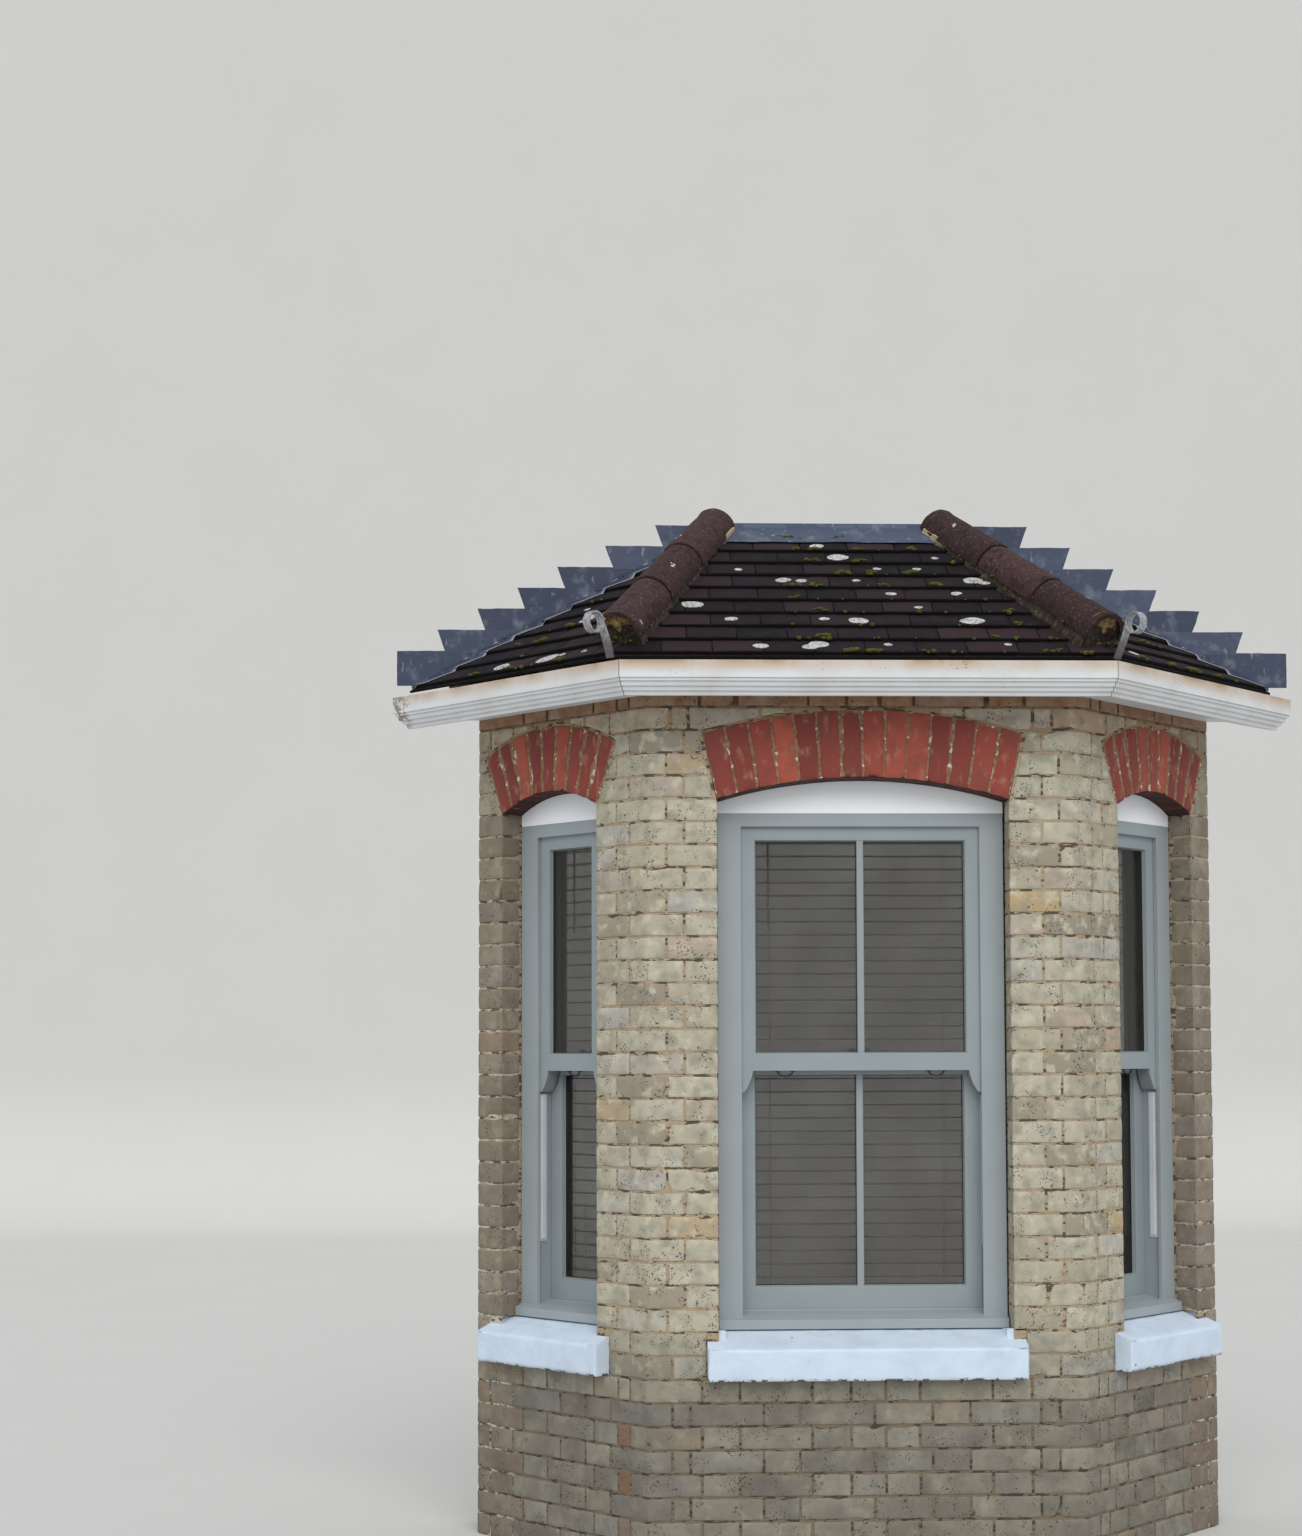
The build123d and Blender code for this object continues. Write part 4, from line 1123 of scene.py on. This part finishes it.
def grow_moss(slope, count, low, high, seed):
    # Cushions in the joints and along the tails
    batch = Batch()
    for number in range(count):
        draw = draws(5, number, seed, 22)
        tail = int(draw[0]**1.4 * slope.length / tile_gauge) * tile_gauge
        left_edge, right_edge = slope.limits(tail)
        across = left_edge + (right_edge - left_edge) * (low + (high - low) * draw[1])
        if draw[2] > 0.5:
            across = round(across / tile_width * 2) * tile_width / 2
        size = 4 + 7 * draw[4]**2
        if number % 3:
            add_clump(batch, slope.place(across, tail + 3 - 6 * draw[3], -2), size, number + seed)
            continue
        for part in range(5):
            spot = lattice(np.array([[number, part, way] for way in range(3)]), 26)
            middle = slope.place(across + 44 * (spot[0] - 0.5), tail + 3 + 18 * spot[1], -tile_step * 0.2)
            add_clump(batch, middle, size + 8 * spot[2], number + part + seed, 0.45)
    return batch


# How many on each slope, and between which shares of its width
lichen_counts = {"left": (12, 0.2, 0.95), "front": (30, 0.05, 0.97), "right": (9, 0.05, 0.7)}
moss_counts = {"left": (26, 0.2, 1.0), "front": (84, 0.35, 1.0), "right": (40, 0.0, 0.8)}
for number, (name, slope) in enumerate(slopes.items()):
    grow_lichen(slope, *lichen_counts[name], 40 + number).make(f"{name}_lichen", "clay_tile", lichen())
    grow_moss(slope, *moss_counts[name], 60 + number).make(f"{name}_moss", "clay_tile", moss())


# Hip tiles, bedded in mortar
hip_radius = 80
hip_taper = 6
hip_start = 55
hip_thickness = 14
hip_tile_count = 3
hip_clumps = 26
mouth_clumps = 6
hip_foot_lift = 30
hip_top_drop = 18
wall_gap = 1
bedding_section = [(-0.97, 0.1), (-0.95, -0.1), (-0.96, -0.4), (-0.98, -0.8), (-1.0, -1.4), (1.0, -1.4),
                   (0.98, -0.8), (0.96, -0.4), (0.95, -0.1), (0.97, 0.1), (0.5, 0.4), (-0.5, 0.4)]


class Hip:
    # The line of one hip: along it from its foot, to its side, and square to it
    def __init__(self, side):
        foot = np.array(eaves_corners[side])
        run = np.array(hip_tops[side]) - foot
        length = np.hypot(*run)
        rise = ridge_height - hip_top_drop - eaves_height - hip_foot_lift
        self.name = side
        self.foot = np.array([*foot, eaves_height + hip_foot_lift])
        self.length = sqrt(length**2 + rise**2)
        self.along = np.array([*run, rise]) / self.length
        self.side = np.array([run[1], -run[0], 0]) / length
        self.square = np.cross(self.side, self.along)
        self.tile = (self.length - hip_start) / hip_tile_count

    def place(self, distance, aside, square):
        distance, aside, square = (part[..., None] for part in np.broadcast_arrays(distance, aside, square))
        points = self.foot + distance * self.along + aside * self.side + square * self.square
        points[..., 1] = np.minimum(points[..., 1], -wall_gap)
        return points


def lay_hip_tiles(hip):
    batch = Batch()
    turn = np.radians(np.linspace(-8, 188, 26))
    for number in range(hip_tile_count):
        start = hip_start + number * hip.tile
        end = start + hip.tile - 5
        if number == hip_tile_count - 1:
            end += 0.6 * hip_radius
        distance = np.array([start, start + 2, *np.linspace(start + 8, end - 8, 16), end - 2, end])[:, None]
        fall = np.zeros((len(distance), 1))
        fall[[0, -1]] = 3
        fall[[1, -2]] = 1
        radius = hip_radius - hip_taper * (distance - start) / hip.tile - fall
        spot = spots(distance, hip_radius * np.cos(turn), hip_radius * np.sin(turn))
        outer = radius + 1.2 * noise(spot, 45, 5) + 0.8 * noise(spot, 14, 6)
        outer = outer - 4 * np.clip(noise(spot, 30, 7) - 0.3, 0, 1) * (fall > 0)
        skins = (hip.place(distance, reach * np.cos(turn), reach * np.sin(turn))
                 for reach in (outer, radius - hip_thickness))
        batch.slab(*skins, (pick(number, 5, int(hip.foot[0]), seed=9), 0, 0))
    batch.make(f"{hip.name}_hip_tile_skins", "hip_tile", hip_tile(), f"{hip.name}_hip_tiles", closed=True)


def bed_hip(hip):
    # Mortar along both sides of the hip tiles, filling the open mouth at their foot
    batch = Batch()
    distance = np.arange(hip_start + 12, hip.length + 20, 9.0)[:, None]
    part = distance / hip.length
    aside, square = np.array(bedding_section).T
    aside = aside * (hip_radius - 7 + 60 * np.clip(part - 0.84, 0, 1))
    square = square * (62 - 36 * part)
    spot = spots(distance, aside, square)
    rough = 3.5 * noise(spot, 26, 12) + 2.5 * noise(spot, 11, 13)
    batch.column(hip.place(distance, aside + np.sign(aside) * rough, square + 0.3 * rough))
    wide, high, rise = patch_points(6, 24, 77)
    reach = hip_radius - hip_thickness + 3
    bulge = 22 - 8 * np.minimum(2 * rise, 1) + 8 * noise(spots(reach * wide, reach * high, rise), 26, 14)
    high = np.where(high > 0, high, 1.05 * high)
    mouth = hip.place(hip_start + bulge, reach * wide, reach * high)
    batch.add(mouth, tube_faces(6, 24)[:, ::-1], (1, 0, 0))
    batch.make(f"{hip.name}_hip_bedding", "hip_tile", bedding(), f"{hip.name}_hip_tiles")


def grow_hip_moss(hip, seed):
    batch = Batch()
    for number in range(hip_clumps):
        draw = draws(6, number, seed, 23)
        distance = hip_start + 5 + (hip.length - hip_start - 60) * draw[0]**1.3
        aside = (1 if draw[1] > 0.35 else -1) * (hip_radius + 3 - 6 * draw[2])
        if hip.name == "left":
            aside = -aside
        middle = hip.place(distance, aside, -4 - 26 * draw[3])
        add_clump(batch, middle, 3 + 5 * draw[4]**2, number + seed)
    for number in range(mouth_clumps):
        draw = draws(4, number, seed + 1, 24)
        middle = hip.place(hip_start + 8, (2 * draw[0] - 1) * 58, -8 - 40 * draw[1])
        add_clump(batch, middle, 4 + 5 * draw[2], number + seed + 50)
    batch.make(f"{hip.name}_hip_moss", "hip_tile", moss())


# Hip irons
iron_width = 28
iron_thickness = 5
iron_ring = 33
iron_centre = 80
iron_foot = (8, -25)
iron_shanks = {"left": (50, -16), "right": (60, 0)}


def forge_hip_iron(side):
    # A strap that rises before the foot of the hip and curls outward into a ring, which is turned a little
    lean, twist = iron_shanks[side]
    foot = np.array(eaves_corners[side])
    run = np.array(hip_tops[side]) - foot
    turn = np.radians(np.linspace(0, 350, 36))
    ring = spots(lean + iron_ring - iron_ring * np.cos(turn), iron_centre + iron_ring * np.sin(turn))
    share = np.linspace(0, 1, 7)[:-1]
    bow = share * (2 - share)**0.6 * share**0.2
    start, low = iron_foot
    shank = spots(start + (lean - start) * bow, low + (iron_centre - low) * share)
    line = np.concatenate([shank, ring])
    ahead = np.gradient(line, axis=0)
    ahead /= np.hypot(*ahead.T)[:, None]
    off = spots(-ahead[:, 1], ahead[:, 0]) * iron_thickness / 2
    turned = np.concatenate([share**2, np.ones(len(ring))])
    rings = []
    for spot, shift, part in zip(line, off, turned):
        angle = atan2(*run) - radians(twist) * part
        outward = np.array([-sin(angle), -cos(angle), 0])
        across = np.array([cos(angle), -sin(angle), 0])
        section = []
        for sign, width in ((1, -1), (1, 1), (-1, 1), (-1, -1)):
            reach, rise = spot + sign * shift
            middle = np.array([*foot, eaves_height + rise]) + reach * outward
            section.append(middle + width * iron_width / 2 * across)
        rings.append(section)
    batch = Batch()
    batch.column(np.array(rings))
    batch.make(f"{side}_hip_iron", "galvanised_iron", galvanised(), "hip_irons", closed=True)


# Lead: stepped flashings in overlapping sheets with a leg dressed over the tiles, and the apron
lead_thickness = 3
lead_end = 1574
lead_steps = 7
first_step = 124
step_rake = 30
step_lap = 8
# How much shorter some of the steps are
short_steps = {"left": {5: 28, 6: 64}, "right": {}}
lead_lap = 62
apron_lap = 84
apron_upstand = 14


def lay_steps(batch, side, sign, wall_foot, hip_top, roof_run):
    part = np.linspace(0, 1, 7)
    wide = np.linspace(0, 1, 14)[:, None]
    for number in range(lead_steps):
        top = eaves_height + first_step + number * course
        bottom = top - course - step_lap if number else eaves_height
        level = bottom + (top - bottom) * part
        short = short_steps[side].get(number, 0)
        outer = lead_end - short - number * course * roof_run - step_rake * (1 - part) * (number > 0)
        inner = wall_foot - (level - eaves_height) * roof_run - 12
        inner = np.maximum(np.minimum(inner, outer - 20), hip_top)
        along = outer - wide * (outer - inner)
        spot = spots(along, level, 13.0 * number)
        along = along + 1.5 * noise(spot, 24, 31)
        upright = level + 1.5 * noise(spot, 30, 32) * (part > 0.9)
        proud = lead_thickness - 1.2 + 1.2 * noise(spot, 40, 33) * np.minimum(1, 6 * wide)
        proud = np.clip(proud + 0.5 * (number % 2), 1.2, lead_thickness)
        batch.slab(spots(sign * along, -proud, upright), spots(sign * along, -0.2, upright),
                   (pick(number, sign + 2, 4, seed=12), 0, 0))


def dress_leg(batch, slope, sign, wall_foot, hip_top):
    # The leg follows the steps of the tiles and ends in a bright curled edge
    along = np.linspace(wall_foot - 8, hip_top + 12, 110)[:, None]
    reach = np.linspace(0, 1, 9)
    spot = spots(along, 300 * reach, 7.0 * sign)
    deep = reach * (lead_lap + 8 * noise(spot, 70, 34) - 6)
    deep = np.minimum(deep, np.clip(0.98 * (wall_foot - along), 4, None))
    plan = spots(sign * along, -deep - 0.5, 0)
    tiled = slope.height(plan, tiled=True)
    dressed = tiled + (slope.height(plan) - tiled) * 0.35 * (1 - reach) + 2.2 + 1.2 * noise(spot, 35, 35)
    dressed[:, -1] += 1.5
    front_skin = spots(sign * along, -deep - 0.5, dressed)
    edge = np.broadcast_to(reach**12, deep.shape).ravel()
    look = spots(0.4, edge, 0)
    batch.slab(front_skin, front_skin - (0, 0, 2), np.concatenate([look, look]))


def lay_step_lead(side, sign):
    wall_foot, hip_top = abs(eaves_backs[side][0]), abs(hip_tops[side][0])
    roof_run = (wall_foot - hip_top) / (ridge_height - eaves_height)
    batch = Batch()
    lay_steps(batch, side, sign, wall_foot, hip_top, roof_run)
    dress_leg(batch, slopes[side], sign, wall_foot, hip_top)
    batch.make(f"{side}_step_lead", "lead", lead(), "step_flashings", closed=True)


def lay_apron():
    batch = Batch()
    along = np.linspace(hip_tops["left"][0] + 30, hip_tops["right"][0] - 30, 90)[:, None]
    reach = np.linspace(0, 1, 8)
    spot = spots(along, 300 * reach, 50.0)
    deep = reach * (apron_lap + 5 * noise(spot, 80, 36))
    plan = spots(along, -deep - 0.5, 0)
    dressed = slopes["front"].height(plan) + 1.2 + 1.0 * noise(spot, 40, 37) - 3 * reach
    upstand = spots(along, np.array([-2.6, -2.8]), ridge_height + np.array([apron_upstand, 2]))
    skin = np.concatenate([upstand, spots(along, -deep - 0.5, dressed)[:, 1:]], axis=1)
    under = skin.copy()
    under[:, :2, 1] = -0.3
    under[:, 2:, 2] -= 2
    batch.slab(skin, under, (0.9, 0, 0))
    batch.make("apron_lead", "lead", lead(), "apron_flashing", closed=True)


for number, side in enumerate(hip_tops):
    hip = Hip(side)
    lay_hip_tiles(hip)
    bed_hip(hip)
    grow_hip_moss(hip, 80 + number)
for side in hip_tops:
    forge_hip_iron(side)
lay_step_lead("left", -1)
lay_step_lead("right", 1)
lay_apron()


# Gutter: a flat band over ridges that step back to the foot, open at the top, with stop ends at the wall
gutter_foot = 2784.98
gutter_offset = 95
gutter_face = [(118, 108), (118, 52.5), (112, 51.5), (113, 46), (112, 42.5), (105, 41.5), (105, 34),
               (102, 27.5), (94, 26), (94.5, 20), (91, 13.5), (83, 12.5), (83.5, 6), (80, 0), (66, 0),
               (0, 16), (0, 108)]
gutter_inside = [(3, 108), (3, 20), (60, 5), (70, 4), (74, 12), (84, 18), (86, 28), (96, 32), (98, 44),
                 (106, 48), (107, 56), (115, 60), (115, 108)]


def gutter_ring(part, section, shift=0):
    # The section at a point along the bay, where whole numbers are the wall ends and the mitres
    reach, height = np.array(section, float).T
    offset = gutter_offset + reach
    turn = half_front + offset * mitre
    far = half_back + offset * sqrt(2)
    stations = [(-far, -shift), (-turn, -bay_depth - offset), (turn, -bay_depth - offset), (far, -shift)]
    first = min(int(part), 2)
    (x0, y0), (x1, y1) = stations[first], stations[first + 1]
    share = part - first
    return spots(x0 + share * (x1 - x0), y0 + share * (y1 - y0), gutter_foot + height)


def hang_gutter():
    batch = Batch()
    parts = sorted({*np.linspace(0, 1, 9), *np.linspace(1, 2, 17), *np.linspace(2, 3, 9)})
    rings = np.array([gutter_ring(part, gutter_face + gutter_inside, shift=0.5) for part in parts])
    rings[..., 2] += np.clip(0.8 * noise(rings.mean(axis=1), 260, 61), -1, 0)[:, None]
    batch.column(rings)
    for side, part in ((-1, 0), (1, 3)):
        end = gutter_ring(part, gutter_face)
        inset = end - (4 * side, 4, 0)
        end[:, 1] = -0.6
        batch.column(np.stack([end, inset]) - (side, 0, 0))
    batch.make("moulded_gutter", "gutter", painted_gutter(), "gutter", closed=True)


soffit_level = gutter_foot + 24
soffit_lift = 20


def lift_soffit(points, normals):
    # The boards end out of sight above the foot of the gutter
    lifted = points.copy()
    lifted[:, 2] += soffit_lift * (points[:, 2] < soffit_level)
    return lifted


hang_gutter()
reshaped_copy("raised_eaves_boards", "painted_joinery", board_paint, "eaves_boards", lift_soffit)


# Windows: bars, panes, spacers, fasteners, pulls and balance strips
frame_gap = 4
jamb_width = 79
stile_sight = 46
lining = 16
channel = 10
frame_depth = 144
sash_thickness = 52
parting_bead = 8
upper_depth = lining
lower_depth = lining + sash_thickness + parting_bead
glass_setback = 14
glass_thickness = 24
glass_bite = 6
sheet_thickness = 4
spacer_sight = 11.5
upper_light = (1645, 2349)
lower_light = (877, 1576)
meeting_bottom = 1588
meeting_rail = 52
meeting_top = meeting_bottom + meeting_rail
bar_half = 11.5
pull_reach = 26
pull_drop = 18
strip_bottom = 1003
strip_top = 1508


class Opening:
    # Places points in a window: across from its middle, up, and depth in from the brick face
    def __init__(self, face):
        self.face = face
        self.name = face.name
        self.light_half = face.half - frame_gap - jamb_width - stile_sight
        self.lights = ((face.recess + upper_depth, *upper_light), (face.recess + lower_depth, *lower_light))

    def place(self, across, up, depth):
        return self.face.place(self.face.middle + across, up, -depth)

    def block(self, batch, across, up, depth, soft=0.0):
        # A bar with softened edges between two limits each way
        (left_end, right_end), (bottom, top), (near, far) = sorted(across), up, depth
        rings = []
        for level, inset in ((bottom, soft), (bottom + soft, 0), (top - soft, 0), (top, soft)):
            rings.append([self.place(x, level, y) for x, y in (
                (left_end + inset, far - inset), (left_end + inset, near + soft + inset),
                (left_end + soft + inset, near + inset), (right_end - soft - inset, near + inset),
                (right_end - inset, near + soft + inset), (right_end - inset, far - inset))])
        batch.column(np.array(rings))

    def border(self, batch, half, bottom, top, section):
        # A square frame round a light; its section is given inward from the edge and by depth
        turns = ((-1, bottom, 1), (1, bottom, 1), (1, top, -1), (-1, top, -1), (-1, bottom, 1))
        rings = [[self.place(side * (half - inward), level + lift * inward, depth)
                  for inward, depth in section] for side, level, lift in turns]
        batch.add(np.array(rings), tube_faces(5, 4))


openings = {face.name: Opening(face) for face in faces}


def glaze(opening, glass, spacer):
    # Two sheets and a spacer to each sash, held by slips that slope from the sash to the pane
    panes, spacers, beads = Batch(), Batch(), Batch()
    half = opening.light_half + glass_bite
    for front_depth, bottom, top in opening.lights:
        near = front_depth + glass_setback
        low, high = bottom - glass_bite, top + glass_bite
        inner, outer = near + sheet_thickness, near + glass_thickness - sheet_thickness
        for sheet in (near, outer):
            skins = (opening.place(np.array([[-half], [half]]), np.array([low, high]), depth)
                     for depth in (sheet, sheet + sheet_thickness))
            panes.slab(*skins)
        section = [(0, inner + 0.2), (0, outer - 0.2),
                   (spacer_sight, outer - 0.2), (spacer_sight, inner + 0.2)]
        opening.border(spacers, half, low, high, section)
        section = [(0, front_depth + 3), (1.5, front_depth + 3), (5, near), (0, near)]
        opening.border(beads, opening.light_half + 1, bottom - 1, top + 1, section)
    name = opening.name
    panes.make(f"{name}_panes", "window_glass", glass, f"{name}_glass", closed=True, smooth=False)
    spacers.make(f"{name}_spacers", "window_metal", spacer, closed=True, smooth=False)
    beads.make(f"{name}_beads", "painted_joinery", joinery_paint, closed=True, smooth=False)


def add_glazing_bars(opening):
    batch = Batch()
    for front_depth, bottom, top in opening.lights:
        glass = front_depth + glass_setback
        for depth in ((front_depth + 2, glass), (glass + glass_thickness, front_depth + 50)):
            opening.block(batch, (-bar_half, bar_half), (bottom - 2, top + 2), depth, soft=2)
    batch.make("front_glazing_bars", "painted_joinery", joinery_paint, closed=True)


def add_fastener(batch, opening):
    # A fitch fastener in two halves on the meeting rail
    depth = opening.face.recess + lower_depth + 20
    for side in (-1, 1):
        opening.block(batch, (side * 9, side * 34), (meeting_top, meeting_top + 5),
                      (depth - 9, depth + 9), 1.5)
        opening.block(batch, (side * 12, side * 24), (meeting_top + 5, meeting_top + 17),
                      (depth - 6, depth + 6), 3)
        lift = meeting_top + 15 + 4 * np.sin(np.linspace(0, np.pi, 6))
        batch.rod(opening.place(np.linspace(side * 14, side * 38, 6), lift, depth), 3.5)


def add_pull(batch, opening, across):
    # A finger pull: a thin round loop under the meeting rail
    depth = opening.face.recess + upper_depth + 20
    turn = np.linspace(np.pi, 2 * np.pi, 17)
    level = meeting_bottom + 1 + pull_drop * np.sin(turn)
    batch.rod(opening.place(across + pull_reach * np.cos(turn), level, depth), 2.6)
    for middle in (across - pull_reach, across + pull_reach):
        opening.block(batch, (middle - 8, middle + 8), (meeting_bottom - 3, meeting_bottom + 1),
                      (depth - 7, depth + 7), 1)


def add_balance_strips(batch, opening):
    # White covers of the balances, in the tracks below the horns
    edge = opening.face.half - frame_gap - jamb_width + channel
    depth = opening.face.recess + lining
    for side in (-1, 1):
        opening.block(batch, (side * edge, side * (edge - 7)), (strip_bottom + 7, strip_top),
                      (depth + 12, depth + 30), 2)
        opening.block(batch, (side * edge, side * (edge - 3)), (strip_bottom, strip_top),
                      (depth + 5, depth + 37), 1)


# Venetian blinds
slat_pitch = 44
slat_reach = 25
slat_crown = 1
slat_thickness = 3
slat_count = 35
headrail_bottom = 2397
headrail_top = 2436
wand_length = 330


def hang_blind(opening, ladder):
    slats, cords = Batch(), Batch()
    half = opening.face.half - frame_gap - 12
    middle = opening.face.recess + frame_depth + 1 + slat_reach
    across = np.linspace(-half, half, 9)[:, None]
    reach = np.linspace(-1, 1, 9)
    for number in range(slat_count):
        draw = draws(3, number, int(half), 41)
        tilt = 0.04 * (draw[0] - 0.5)
        rise = headrail_bottom - (number + 1) * slat_pitch + 1.2 * (draw[1] - 0.5) * across / half
        rise = rise + slat_crown * (1 - reach**2) - slat_crown / 2 + tilt * slat_reach * reach
        skins = (opening.place(across, rise + lift, middle + slat_reach * reach * 0.97)
                 for lift in (slat_thickness / 2, -slat_thickness / 2))
        slats.slab(*skins, (draw[2], 0, 0))
    low = headrail_bottom - (slat_count + 1) * slat_pitch
    opening.block(slats, (-half, half), (low, low + 14), (middle - 24, middle + 24), 3)
    opening.block(slats, (-half, half), (headrail_bottom, headrail_top), (middle - 25, middle + 24), 1.5)
    for side in (-1, 1):
        for depth in (middle - 25.2, middle + 24.5):
            line = opening.place(side * ladder, np.linspace(headrail_bottom + 2, low + 6, 8), depth)
            cords.rod(line, 0.9, 6)
    drop = np.linspace(headrail_bottom, headrail_bottom - wand_length, 6)
    cords.rod(opening.place(-ladder - 6, drop, middle - 25), 3)
    slats.make(f"{opening.name}_blind_slats", "blind_slats", slat_finish, "blinds", closed=True)
    cords.make(f"{opening.name}_blind_cords", "blind_slats", slat_finish, "blinds", closed=True)


pull_places = {"left": (0,), "front": (-250, 250), "right": (0,)}
ladder_places = {"left": 110, "front": 292, "right": 110}
glass_finish = window_glass()
spacer_finish = metal("spacer", (52, 66, 82), (38, 50, 64), 0.45, 0.3)
fasteners, pulls, strips = Batch(), Batch(), Batch()
for name, opening in openings.items():
    glaze(opening, glass_finish, spacer_finish)
    add_fastener(fasteners, opening)
    add_balance_strips(strips, opening)
    for across in pull_places[name]:
        add_pull(pulls, opening, across)
add_glazing_bars(openings["front"])
dark_metal = metal("dark_metal", (70, 68, 64), (44, 42, 40))
fasteners.make("sash_fasteners", "window_metal", white_paint, "sash_fittings", closed=True)
pulls.make("finger_pulls", "window_metal", dark_metal, "sash_fittings", closed=True)
strips.make("balance_strips", "window_metal", white_paint, closed=True)
for name, opening in openings.items():
    hang_blind(opening, ladder_places[name])


# Sills: thick masonry paint over worn stone, on a plain slope from end to end, bedded into the brickwork
stool_ears = {"left": 92, "front": 38, "right": 92}
drawn_projection = 40
drawn_nose = 698
sill_projection = 63
sill_nose = 702
slope_back = 745
slope_inset = 28


def wear_sill(face):
    def slope(out, projection, nose):
        share = (projection - out) / (projection + face.recess - slope_inset)
        return nose + (slope_back - nose) * np.clip(share, 0, 1)

    def move(points, normals):
        across, up, out = face.measure(points)
        off = across - face.middle
        past = np.clip(np.abs(off) - face.half, 0, None)
        shorter = past * (1 - face.ear / stool_ears[face.name]) * np.sign(off)
        further = np.where(out > 0, out * sill_projection / drawn_projection, out)
        top = slope(further, sill_projection, sill_nose)
        level = up + (top - slope(out, drawn_projection, drawn_nose)) * np.clip((up - 640) / 50, 0, 1)
        level = np.where(further > -9, np.minimum(level, top), level)
        moved = face.place(across - shorter, level, further)
        dent = 0.9 * noise(moved, 35, 51) + 0.5 * noise(moved, 12, 52)
        low_edge = np.clip(1 - (up - sill_seat) / 16, 0, 1) * (out > 20)
        chips = np.clip(noise(moved, 70, 53), 0, 1) * low_edge
        return moved - normals * np.clip(dent + 1 + 1.2 * chips, 0, None)[:, None]
    return move


def bed_sill(face):
    # Mortar above and beside the ends of the sill
    batch = Batch()
    for side in (-1, 1):
        across = (side * face.half, side * (face.half + stool_ears[face.name] + 1))
        openings[face.name].block(batch, across, (sill_seat, sill_top + joint / 2), (mortar_setback, 14))
    batch.make(f"{face.name}_sill_bed", "stock_brick", mortar_finish, closed=True, smooth=False)


stone_paint = painted_stone()
for face in faces:
    name = face.name
    reshaped_copy(f"{name}_worn_sill", "painted_stone", stone_paint, f"{name}_sill", wear_sill(face), voxel=6)
    bed_sill(face)


# Finishes of the CAD nodes that stay
def finish_nodes(material, *names, soft=0):
    for name in names:
        node = nodes[name]
        node.data.materials.clear()
        node.data.materials.append(material)
        if soft:
            node.modifiers.new("weld", "WELD").merge_threshold = 0.05 * MM
            bevel = node.modifiers.new("bevel", "BEVEL")
            bevel.width = soft * MM
            bevel.segments = 2
            bevel.limit_method = "ANGLE"
            bevel.harden_normals = True


for face in faces:
    finish_nodes(lit_frame_paint, f"{face.name}_box_frame", soft=1.5)
    finish_nodes(joinery_paint, f"{face.name}_upper_sash", f"{face.name}_lower_sash", soft=1.5)
finish_nodes(lit_infill_paint, "head_infills", soft=1)
finish_nodes(bare_timber(), "bressummer", "wall_plate", "ceiling_joists", "wall_ledgers", "hip_rafters",
             "rafters", "window_lintels", soft=2)
finish_nodes(board_paint, "window_boards", soft=2)
finish_nodes(plaster(), "wall_plaster", "ceiling")
finish_nodes(floorboards(), "floor")


# Camera, as in the photograph: its place, and its yaw, pitch and roll in degrees
camera_spot = (-780.2, -7851.1, 1649.0)
camera_angles = (2.029, 3.084, -0.192)
camera_shift = (-0.0404, 0.1256)
sensor_width = 36
photo_width = 1302
focal_pixels = 2246.87


def make_camera():
    yaw, pitch, roll = np.radians(camera_angles)
    right_axis = Vector((cos(yaw), -sin(yaw), 0))
    forward = Vector((sin(yaw) * cos(pitch), cos(yaw) * cos(pitch), sin(pitch)))
    up_axis = right_axis.cross(forward)
    across = cos(roll) * right_axis + sin(roll) * up_axis
    upward = cos(roll) * up_axis - sin(roll) * right_axis
    data = bpy.data.cameras.new("camera")
    data.sensor_fit = "HORIZONTAL"
    data.lens = sensor_width * focal_pixels / photo_width
    data.shift_x, data.shift_y = camera_shift
    data.clip_end = 200
    camera = bpy.data.objects.new("camera", data)
    axes = Matrix((across, upward, -forward)).transposed().to_4x4()
    camera.matrix_world = Matrix.Translation(Vector(camera_spot) * MM) @ axes
    bpy.context.scene.collection.objects.link(camera)
    bpy.context.scene.camera = camera


def make_floor():
    # A pale floor that turns up into the backdrop behind the bay, in metres
    radius = 1.5
    wall = 14.0
    height = 20
    half_width = 30
    arc = np.linspace(0, np.pi / 2, 12)
    bend = [(wall - radius + radius * sin(angle), radius - radius * cos(angle)) for angle in arc]
    profile = [(-half_width, 0), *bend, (wall, height)]
    points = [(x, y, z) for y, z in profile for x in (-half_width, half_width)]
    mesh = bpy.data.meshes.new("studio_floor")
    mesh.from_pydata(points, [], sheet_faces(len(profile), 2).tolist())
    mesh.polygons.foreach_set("use_smooth", [True] * len(mesh.polygons))
    studio = Finish("studio", 0.9, (202, 202, 200))
    studio.lay((198, 198, 196), studio.noise(900))
    mesh.materials.append(studio.done())
    floor = bpy.data.objects.new("studio_floor", mesh)
    bpy.context.scene.collection.objects.link(floor)


def make_light():
    world = bpy.data.worlds.new("studio")
    world.use_nodes = True
    background = world.node_tree.nodes["Background"]
    background.inputs["Color"].default_value = (0.93, 0.96, 1, 1)
    background.inputs["Strength"].default_value = 0.75
    bpy.context.scene.world = world
    lamp = bpy.data.lights.new("soft_light", "SUN")
    lamp.energy = 1.6
    lamp.angle = radians(50)
    lamp.color = (1, 0.98, 0.94)
    holder = bpy.data.objects.new("soft_light", lamp)
    holder.rotation_euler = (radians(48), 0, radians(2))
    bpy.context.scene.collection.objects.link(holder)


make_camera()
make_floor()
make_light()
bpy.context.scene.view_settings.view_transform = "Standard"
